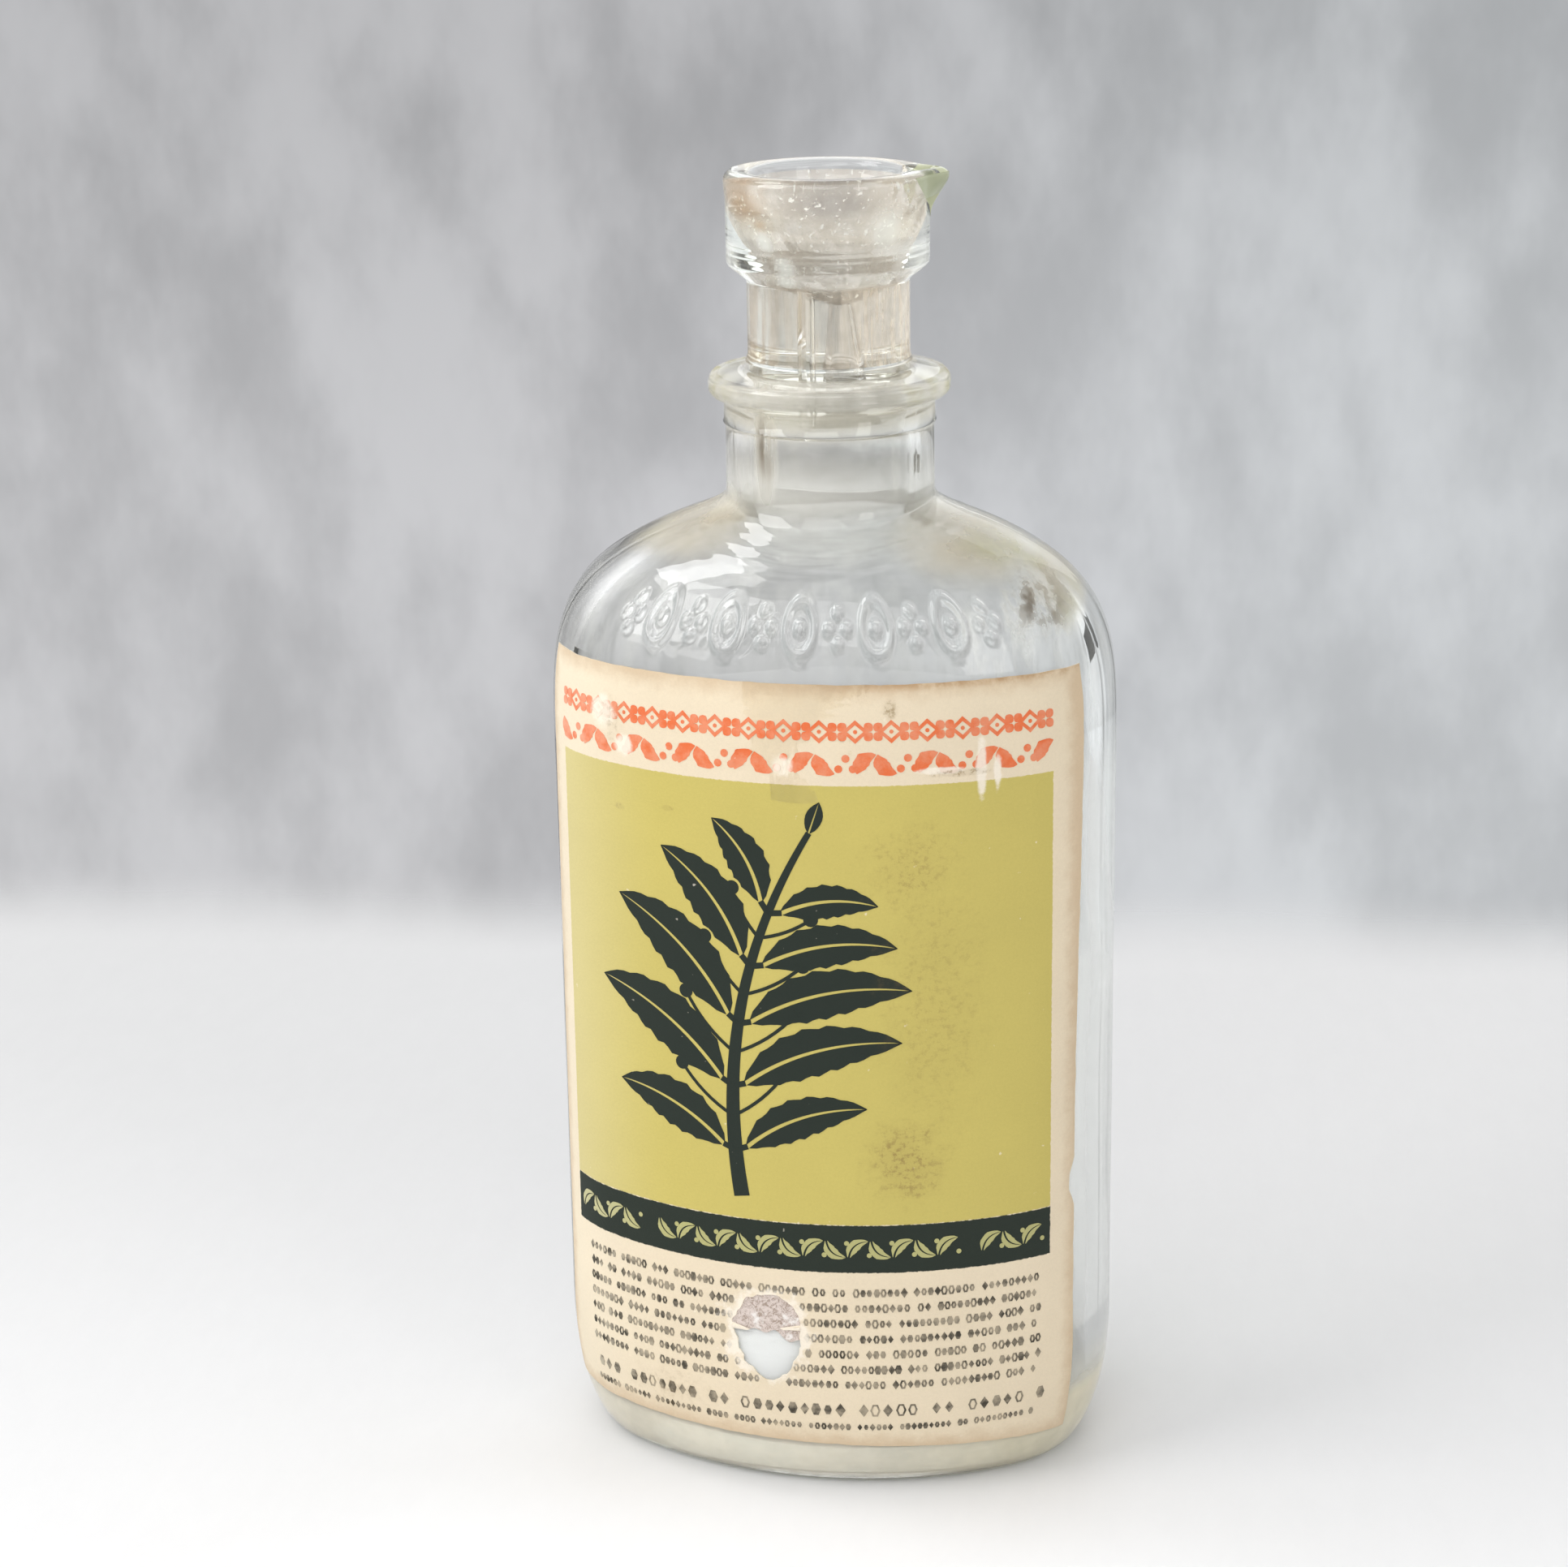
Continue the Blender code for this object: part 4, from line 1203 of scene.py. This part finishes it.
# Light colours are mixed towards pale cream on the left of the label.
paler_to_left = times(aged, ramp(aged, sides["X"], -16 * mm, -34 * mm),
                 times(aged, ramp(aged, lightness, 0.04, 0.30), 0.20))
colour = mix(aged, paler_to_left, colour, (0.90, 0.85, 0.70, 1))
print("brown spots:", len(aged.nodes), "nodes")

# %% Aged print: dirty edges
from_top = maths(aged, "SUBTRACT", label_head, sides["Y"])
to_right = linear(aged, sides["X"], 1 / label_width, -label_left / label_width)
from_foot = linear(aged, times(aged, to_right, to_right), foot_dip,
                   maths(aged, "SUBTRACT", sides["Y"], label_foot))
from_middle = size_of(aged, maths(aged, "SUBTRACT", sides["X"], label_middle))
from_side = maths(aged, "SUBTRACT", label_width / 2, from_middle)
nearest = maths(aged, "MINIMUM", from_top, maths(aged, "MINIMUM", from_foot, from_side))
edge_dirt = ramp(aged, linear(aged, patchy, -3.0 * mm, nearest), 1.0 * mm, -1.7 * mm)
top_stain = times(aged, ramp(aged, from_top, 1.1 * mm, 0.0),
                  ramp(aged, sides["X"], -4.0 * mm, 16.0 * mm))
colour = layered(aged, colour, (times(aged, edge_dirt, 0.45), (0.45, 0.28, 0.14, 1)),
                 (times(aged, top_stain, ramp(aged, patchy, 0.3, 0.62)), (0.42, 0.26, 0.13, 1)))
print("dirty edges:", len(aged.nodes), "nodes")

# %% Aged print: fibres
fibre = cloud(aged, place, 2600.0, 4.0, 0.75)
shade = pile(aged, 0.87, (cloud(aged, place, 7000.0, 2.0, 0.6), 0.10), (fibre, 0.16))
shade = times(aged, shade, linear(aged, cloud(aged, place, 70.0, 3.0, 0.6), 0.14, 0.93))
toned = mix(aged, 1.0, colour, grey_of(aged, shade), "MULTIPLY")
for value, name in ((toned, "Colour"), (linear(aged, scuffs, -0.6, fibre), "Height"),
                    (linear(aged, scuffs, 0.2, 0.62), "Roughness")):
    aged.links.new(value, aged_out[name])


def printed(name, colour, fading=0.0):
    """A matt material of one ink on the old paper. Returns the material, its tree and the group."""
    material, tree, shader = material_of(name, IOR=1.35)
    place = node(tree, "ShaderNodeUVMap", {"uv_map": "sheet"}).outputs[0]
    old = node(tree, "ShaderNodeGroup", {"node_tree": aged}, Place=place, Colour=(*colour, 1),
               Fading=fading)
    bump = node(tree, "ShaderNodeBump", Strength=0.6, Distance=0.06 * mm,
                Height=old.outputs["Height"])
    tree.links.new(old.outputs["Colour"], shader.inputs["Base Color"])
    tree.links.new(old.outputs["Roughness"], shader.inputs["Roughness"])
    tree.links.new(bump.outputs["Normal"], shader.inputs["Normal"])
    return material, tree, old, place


print("aged print:", len(aged.nodes), "nodes")

# %% Printed grounds
panel_half, panel_foot, panel_head = 31.0 * mm, 34.8 * mm, 87.55 * mm
band_foot = 28.85 * mm


def field(tree, place, foot, head):
    """Mask of an upright rectangle between two levels, as wide as the panel, with a rough rim."""
    sides = node(tree, "ShaderNodeSeparateXYZ", n0=place).outputs
    rough = linear(tree, cloud(tree, place, 2200.0, 2.0), 0.25 * mm, -0.125 * mm)
    aside = size_of(tree, maths(tree, "SUBTRACT", sides["X"], label_middle))
    across = maths(tree, "SUBTRACT", panel_half, aside)
    up = maths(tree, "MINIMUM", maths(tree, "SUBTRACT", sides["Y"], foot),
               maths(tree, "SUBTRACT", head, sides["Y"]))
    inward = maths(tree, "ADD", maths(tree, "MINIMUM", across, up), rough)
    return ramp(tree, inward, -0.04 * mm, 0.08 * mm)


paper_colour = (0.735, 0.625, 0.458)
paper, tree, old, place = printed("label_paper", paper_colour)
ground = layered(tree, (*paper_colour, 1),
                 (field(tree, place, panel_foot, panel_head), (0.53, 0.443, 0.122, 1)),
                 (field(tree, place, band_foot, panel_foot), (0.013, 0.020, 0.013, 1)))
tree.links.new(ground, old.inputs["Colour"])
print("panel", round((panel_head - panel_foot) / mm, 1), "mm tall")

# %% Back of the paper, and the label wrapped
paper_back, tree, shader = material_of("paper_back", Roughness=0.8)
place = node(tree, "ShaderNodeUVMap", {"uv_map": "sheet"}).outputs[0]
mottled = cloud(tree, place, 300.0, 5.0, 0.65)
tree.links.new(mix(tree, ramp(tree, mottled, 0.3, 0.7), (0.84, 0.74, 0.58, 1),
                   (0.93, 0.84, 0.68, 1)), shader.inputs["Base Color"])
wrap(label, -0.03 * mm, paper_lift)
label.normal_update()
for face in label.faces:  # those that look inwards, at the glass, get the plain back
    middle = face.calc_center_median()
    if face.normal.x * middle.x * 0.3 + face.normal.y * middle.y < -0.2 * abs(middle.y):
        face.material_index = 1
label_piece = finish_piece("paper_label", label, paper, "front_label")
label_piece.data.materials.append(paper_back)

# %% [markdown]
# In the upper half of the hole an under-ply of the paper still clings to the glass: thinner,
# greyish pink and scribbled with torn fibres. It is a disc cut off below by an uneven line.

# %% Torn under-ply
ply_paper, tree, shader = material_of("torn_ply", Roughness=0.85, IOR=1.3)
place = node(tree, "ShaderNodeUVMap", {"uv_map": "sheet"}).outputs[0]
fibres = cloud(tree, place, 1500.0, 5.0, 0.8, 1.5)
pale = ramp(tree, cloud(tree, place, 600.0, 3.0, 0.6), 0.55, 0.7)
colour = layered(tree, (0.33, 0.25, 0.20, 1),
                 (ramp(tree, fibres, 0.38, 0.56), (0.66, 0.57, 0.52, 1)),
                 (pale, (0.80, 0.76, 0.72, 1)))
tree.links.new(colour, shader.inputs["Base Color"])
ply = bmesh.new()
bmesh.ops.create_grid(ply, x_segments=44, y_segments=32, size=0.5)
for vertex in ply.verts:
    across, up = vertex.co.x * 2, vertex.co.y + 0.5
    foot = (0.3 - 0.9 * across + noise.noise(Vector((across * 3, 1, 0))) * 1.1) * mm
    half = 5.6 * mm
    head = math.sqrt(max(1 - across ** 2, 0.0)) * 5.9 * mm
    rise = max(head - foot, 0.4 * mm) * up
    vertex.co = tear_place + Vector((across * half, foot + rise, 0))
wrap(ply, -0.01 * mm, 0.03 * mm)
finish_piece("torn_under_ply", ply, ply_paper)

# %% [markdown]
# ## Printed motifs
# Ink is a film on the paper. Each motif is drawn flat from two small shapes: a strip along a curve
# whose width may swell, which makes stems and leaves, and a polygon, which makes dots and lozenges.
# Long strips have many cells, and polygons are cut every millimetre, so that both bend with the
# glass.

# %% Strip and polygon


def bow(start, end, bulge):
    """A curve from start to end in millimetres that bulges sideways."""
    start, end = Vector((*start, 0)) * mm, Vector((*end, 0)) * mm
    aside = Vector((start.y - end.y, end.x - start.x, 0)) * bulge
    middle = (start + end) / 2 + aside * 2

    def along(share):
        return start * (1 - share) ** 2 + middle * 2 * share * (1 - share) + end * share ** 2
    return along


def strip(sheet, path, edges, cells=20):
    """A strip of ink along a path; edges(share) gives how far its two sides lie off the path."""
    for vertex in bmesh.ops.create_grid(sheet, x_segments=cells, y_segments=3, size=0.5)["verts"]:
        share, side = vertex.co.x + 0.5, vertex.co.y + 0.5
        ahead = (path(share + 0.01) - path(share - 0.01)).normalized()
        low, high = edges(share)
        vertex.co = path(share) + Vector((-ahead.y, ahead.x, 0)) * (low + (high - low) * side) * mm


def stroke(sheet, start, end, bulge, width, taper=0.35, cells=20):
    """A line that swells from its ends to its middle."""
    def edges(share):
        half = width / 2 * (taper + (1 - taper) * math.sin(math.pi * share) ** 0.7)
        return -half, half
    strip(sheet, bow(start, end, bulge), edges, cells)


def leaf(sheet, start, end, bulge, width, rib=0.5, cells=22):
    """A leaf of two halves with a bare midrib and a pointed, slightly toothed outline."""
    for side in (1, -1):
        def edges(share):
            half = width / 2 * math.sin(math.pi * share ** 0.85) ** 0.75
            half *= 1 + 0.07 * math.sin(share * 44)
            inner = rib / 2 * (1 - share) ** 0.5
            return sorted((side * inner, side * max(half, inner + 0.04)))
        strip(sheet, bow(start, end, bulge), edges, cells)


def patch_of(sheet, place, radius, points=12, turn=0.0, stretch=1.0, ring=0.0):
    """A round, square or long spot; with a ring width it is left open in the middle."""
    spin = Matrix.Translation((place[0] * mm, place[1] * mm, 0))
    spin = spin @ Matrix.Rotation(turn, 4, "Z") @ Matrix.Diagonal((1, stretch, 1, 1))
    made = bmesh.ops.create_circle(sheet, cap_ends=True, segments=points, radius=radius * mm,
                                   matrix=spin)["verts"]
    if ring:
        face = made[0].link_faces[0]
        bmesh.ops.inset_region(sheet, faces=[face], thickness=ring * mm, use_boundary=True)
        bmesh.ops.delete(sheet, geom=[face], context="FACES")


def ink_piece(name, sheet, material):
    """Cut polygons into narrow slices, wrap the sheet just over the paper, and finish it."""
    bmesh.ops.remove_doubles(sheet, verts=sheet.verts, dist=0.004 * mm)
    for index in range(-36, 35):
        large = [face for face in sheet.faces
                 if len(face.verts) != 4 or face.calc_area() > 1.0 * mm * mm]
        geometry = list({item for face in large for item in (face, *face.edges, *face.verts)})
        if geometry:
            bmesh.ops.bisect_plane(sheet, geom=geometry, plane_co=(index * mm, 0, 0),
                                   plane_no=(1, 0, 0))
    wrap(sheet, paper_lift - 0.03 * mm, paper_lift + 0.035 * mm)
    return finish_piece(name, sheet, material)


# %% [markdown]
# The panel carries a bold dark plant: a bowed stem, toothed leaves in pairs that get smaller
# towards the tip, and berries on short stalks.

# %% Stem and leaves
dark_ink = printed("dark_ink", (0.012, 0.019, 0.013))[0]
sprig = bmesh.new()
stem = bow((-7.5, 37.6), (1.0, 82.0), 0.09)
strip(sprig, stem, lambda share: (-0.95 + 0.6 * share, 0.95 - 0.6 * share), 50)


def offshoot(share, lean):
    """Where a shoot leaves the stem, in millimetres, and its way, which leans off the stem's."""
    ahead = (stem(share + 0.02) - stem(share)).normalized()
    way = Vector((ahead.x * math.cos(lean) - ahead.y * math.sin(lean),
                  ahead.x * math.sin(lean) + ahead.y * math.cos(lean)))
    return (stem(share) / mm).xy, way


pairs = [(0.12, 16.5, 5.6), (0.29, 20.5, 6.6), (0.46, 20.5, 6.6), (0.62, 17.0, 5.8),
         (0.77, 12.5, 4.6)]
for share, length, width in pairs:
    for side in (1, -1):
        foot, way = offshoot(share, math.radians((66 if side > 0 else 75) - 16 * share) * side)
        stroke(sprig, foot, foot + way * 1.6, 0.0, 0.7, 1.0, 4)
        leaf(sprig, foot + way * 1.6, foot + way * length, -0.10 * side,
             width if side > 0 else width * 0.85)
top = stem(1.0) / mm
leaf(sprig, top.xy, (top.x + 1.2, top.y + 3.6), 0.0, 2.0, 0.2, 8)
print("leaves:", len(sprig.faces), "faces")

# %% Berries
for share, length in ((0.21, 8.5), (0.38, 9.0), (0.54, 8.0), (0.70, 6.5)):
    for side in (1, -1):
        foot, way = offshoot(share, math.radians(48) * side)
        stroke(sprig, foot, foot + way * length, 0.06 * side, 0.40, 1.0, 8)
        patch_of(sprig, foot + way * length, 0.85, 18)
ink_piece("printed_sprig", sprig, dark_ink)

# %% [markdown]
# Above the panel run two orange rows of lozenges, flowers and dots, and the dark band has a pale
# garland of small leaves.

# %% Orange rows
orange_ink = printed("orange_ink", (0.72, 0.15, 0.045), 0.2)[0]
orange = bmesh.new()
middle_run = label_middle / mm
for index in range(-15, 16):
    run, level = middle_run + index * 2.0, 93.75
    if index % 2:
        for turn in range(4):
            angle = math.pi / 4 + turn * math.pi / 2
            inner, tip = [(run + reach * math.cos(angle), level + reach * math.sin(angle))
                          for reach in (0.2, 1.3)]
            stroke(orange, inner, tip, 0.0, 1.05, 0.2, 6)
    else:
        patch_of(orange, (run, level), 1.45, 4, 0.0, 0.92, 0.55)
        patch_of(orange, (run, level), 0.24, 8)
for index in range(-13, 14):
    run, level = middle_run + index * 2.3, 90.05
    if index % 3 == 0:
        for aside, up in ((-0.8, -0.55), (0.0, 0.65), (0.8, -0.55)):
            patch_of(orange, (run + aside, level + up), 0.46, 10)
    else:
        side = 1 if index % 3 == 1 else -1
        leaf(orange, (run - 1.05, level - 1.1 * side), (run + 1.05, level + 1.1 * side),
             0.18 * side, 1.7, 0.0, 10)
        patch_of(orange, (run - 0.7, level + 0.9 * side), 0.36, 8)
ink_piece("printed_orange_rows", orange, orange_ink)

# %% Pale garland
pale_ink = printed("pale_ink", (0.42, 0.40, 0.17))[0]
garland = bmesh.new()
level = (band_foot + panel_foot) / 2 / mm
for index in range(-11, 12):
    if index in (-7, 8):
        continue
    run = middle_run + index * 2.6
    side = 1 if index % 2 else -1
    leaf(garland, (run - 1.1, level - 1.0 * side), (run + 1.1, level + 1.0 * side),
         0.2 * side, 1.35, 0.25, 10)
    patch_of(garland, (run + 1.25, level - 0.75 * side), 0.3, 10)
ink_piece("printed_garland", garland, pale_ink)

# %% [markdown]
# The foot of the label is filled with rows of tiny blank beads in uneven groups, which from afar
# give it a fine grey texture.

# %% Bead rows
bead_ink = printed("bead_ink", (0.045, 0.038, 0.026), 0.45)[0]
beads = bmesh.new()
bead_rows = [(26.3 - 1.95 * row, 0.56, 0.80) for row in range(7)]
bead_rows += [(11.2, 0.80, 1.45), (8.9, 0.46, 0.72)]
draw = np.random.default_rng(31)
for level, size, pitch in bead_rows:
    run, left = -30.5, int(draw.integers(3, 9))
    while run < 27.0:
        if left == 0:
            run, left = run + pitch * 0.9, int(draw.integers(2, 10))
            continue
        left -= 1
        run += pitch * draw.uniform(0.92, 1.08)
        if in_tear(Vector((run * mm, level * mm, 0)), 0.5 * mm):
            continue
        kind = int(draw.integers(0, 3))
        tall = size * draw.uniform(0.85, 1.15)
        patch_of(beads, (run, level), tall, 4 if kind == 2 else 6, math.pi / 2, 0.66,
                 0.24 if kind == 1 else 0.0)
ink_piece("printed_bead_rows", beads, bead_ink)

# %% [markdown]
# ## The studio
# A pale table top fades out into the backdrop at its far edge. A big soft window stands at the
# front left with a small roof window beside it, a broad weak light fills in from the front, a
# narrow one from the right, and one from behind. A last card behind the bottle has a narrow beam
# that only lights the back of the label through the glass. The backdrop is the world, mottled by
# direction, and only the camera, reflections and refractions see it so.

# %% Table
table_mesh = bmesh.new()
bmesh.ops.create_grid(table_mesh, x_segments=1, y_segments=1, size=0.9)
table_data = bpy.data.meshes.new("table_top")
table_mesh.to_mesh(table_data)
table_mesh.free()
table = bpy.data.objects.new("table_top", table_data)
table.location = (0.12, -0.62, -0.0002)
table.rotation_euler.z = math.radians(3.9)
bpy.context.scene.collection.objects.link(table)
table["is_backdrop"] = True
print("table", round(table.dimensions.x, 2), "m wide")

# %% Surface of the table
table_white, tree, shader = material_of("table_white", Roughness=0.6)
place = node(tree, "ShaderNodeTexCoord").outputs["Object"]
sides = node(tree, "ShaderNodeSeparateXYZ", n0=place).outputs
tint = cloud(tree, place, 30.0, 4.0, 0.6)
brushed = cloud(tree, stretched(tree, place, (1, 0.35, 1)), 260.0, 5.0, 0.7)
# Painted light and shade: the top is coloured darker towards the far side and on the left, and
# lit_spot is a painted pool of light just in front of the bottle.
far = ramp(tree, sides["Y"], 0.45, 0.75)
right_hand = ramp(tree, sides["X"], -0.12, -0.02)
near_colour = mix(tree, right_hand, (0.882, 0.877, 0.872, 1), (0.93, 0.925, 0.92, 1))
painted_far_shade = mix(tree, right_hand, (0.66, 0.657, 0.653, 1), (0.695, 0.69, 0.685, 1))
lit_spot = spots(tree, place, ((-81, 577, 0), (75, 42, 10), 1.0))
ground = layered(tree, near_colour, (far, painted_far_shade), (lit_spot, (0.895, 0.90, 0.915, 1)))
dapple = linear(tree, tint, 0.03, linear(tree, brushed, 0.05, 0.96))
tree.links.new(mix(tree, 1.0, ground, grey_of(tree, dapple), "MULTIPLY"),
               shader.inputs["Base Color"])
waver = linear(tree, cloud(tree, place, 12.0, 1.0), 0.012, sides["Y"])
fade = strongest(tree, [ramp(tree, waver, 0.795, 0.841), ramp(tree, sides["Y"], -0.6, -0.9),
                        ramp(tree, size_of(tree, sides["X"]), 0.6, 0.9)])
gone = node(tree, "ShaderNodeBsdfTransparent")
blend = node(tree, "ShaderNodeMixShader", n0=fade, n1=shader.outputs[0], n2=gone.outputs[0])
tree.links.new(blend.outputs[0], tree.nodes["Material Output"].inputs["Surface"])
table_data.materials.append(table_white)

# %% World
world = bpy.data.worlds.new("studio")
bpy.context.scene.world = world
world.use_nodes = True
tree = world.node_tree
for item in list(tree.nodes):
    tree.nodes.remove(item)
way = node(tree, "ShaderNodeTexCoord").outputs["Generated"]
sides = node(tree, "ShaderNodeSeparateXYZ", n0=way).outputs
small = cloud(tree, stretched(tree, way, (1, 1, 0.55)), 30.0, 4.0, 0.6)
large = cloud(tree, stretched(tree, way, (1, 1, 0.55)), 11.0, 3.0, 0.6)
blotch = linear(tree, small, 0.4, times(tree, large, 0.6))
to_right = ramp(tree, sides["X"], -0.25, 0.0)
light = pile(tree, 0.365, (ramp(tree, sides["Z"], -0.06, -0.24), 0.10),
             (ramp(tree, blotch, 0.38, 0.62), 0.15), (ramp(tree, sides["Z"], 0.0, 0.35), 0.65),
             (ramp(tree, sides["X"], 0.28, 0.5), 0.35),
             (ramp(tree, sides["X"], -0.45, -0.65), 0.06), (to_right, 0.045))
cool = mix(tree, to_right, (0.985, 0.988, 1.015, 1), (0.975, 1.005, 1.035, 1))
wall_colour = mix(tree, 1.0, cool, grey_of(tree, light), "MULTIPLY")
path = node(tree, "ShaderNodeLightPath").outputs
seen = strongest(tree, [path[f"Is {kind} Ray"] for kind in ("Camera", "Glossy", "Transmission")])
shown = node(tree, "ShaderNodeBackground", Color=wall_colour, Strength=1.0)
felt = node(tree, "ShaderNodeBackground", Color=(0.97, 0.98, 1.0, 1), Strength=0.66)
both = node(tree, "ShaderNodeMixShader", n0=seen, n1=felt.outputs[0], n2=shown.outputs[0])
sky = tree.nodes.new("ShaderNodeOutputWorld")
tree.links.new(both.outputs[0], sky.inputs["Surface"])
print("world:", len(tree.nodes), "nodes")

# %% Lamps


def softbox(name, place, aim, size, power, tall=None, beam=180):
    """A rectangular area lamp that looks at a point. Returns its object."""
    lamp = bpy.data.lights.new(name, "AREA")
    lamp.shape = "RECTANGLE"
    lamp.size = size
    lamp.size_y = tall or size
    lamp.energy = power
    lamp.spread = math.radians(beam)
    item = bpy.data.objects.new(name, lamp)
    item.location = place
    item.rotation_euler = (Vector(aim) - Vector(place)).to_track_quat("-Z", "Y").to_euler()
    bpy.context.scene.collection.objects.link(item)
    return item


middle = (0, 0, 0.08)
softbox("window", (-0.56, -0.34, 0.56), middle, 0.42, 2.95, 0.55)
softbox("roof_window", (-0.37, 0.03, 0.64), middle, 0.18, 0.75, 0.22)
softbox("front_fill", (0.0, -0.75, 0.70), (0, -0.10, 0.02), 0.6, 2.0)
softbox("side_window", (0.55, -0.50, 0.35), middle, 0.2, 0.5, 0.4)
softbox("back_window", (0.05, 0.62, 0.45), middle, 0.5, 0.5)
back_card = softbox("back_card", (0.45, 0.65, 0.10), (0, 0, 0.105), 0.2, 0.07, 0.12, beam=16)
back_card.visible_camera = back_card.visible_glossy = back_card.visible_transmission = False
print("lamps:", len(bpy.data.lights))

# %% Camera
yaw, pitch, roll = (math.radians(angle) for angle in (10.664, 16.954, 0.904))
eye = Vector((-5.85 * mm, -400.12 * mm, 202.95 * mm))
eye.rotate(Matrix.Rotation(yaw, 3, "Z"))
right = Vector((math.cos(yaw), math.sin(yaw), 0))
ahead = Vector((-math.sin(yaw) * math.cos(pitch), math.cos(yaw) * math.cos(pitch),
                -math.sin(pitch)))
up = right.cross(ahead)
level_right = math.cos(roll) * right - math.sin(roll) * up
level_up = math.sin(roll) * right + math.cos(roll) * up
camera_data = bpy.data.cameras.new("camera")
camera_data.sensor_width = 36.0
focal_pixels, frame_pixels = 4400, 1932
camera_data.lens = focal_pixels / frame_pixels * camera_data.sensor_width
camera_data.clip_start = 0.01
camera = bpy.data.objects.new("camera", camera_data)
bpy.context.scene.collection.objects.link(camera)
turned = Matrix((level_right, level_up, -ahead)).transposed().to_4x4()
camera.matrix_world = Matrix.Translation(eye) @ turned
bpy.context.scene.camera = camera
bpy.context.scene.view_settings.view_transform = "Standard"
print("camera", [round(part, 3) for part in camera.matrix_world.translation])

# %% Size and finish
low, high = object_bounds()
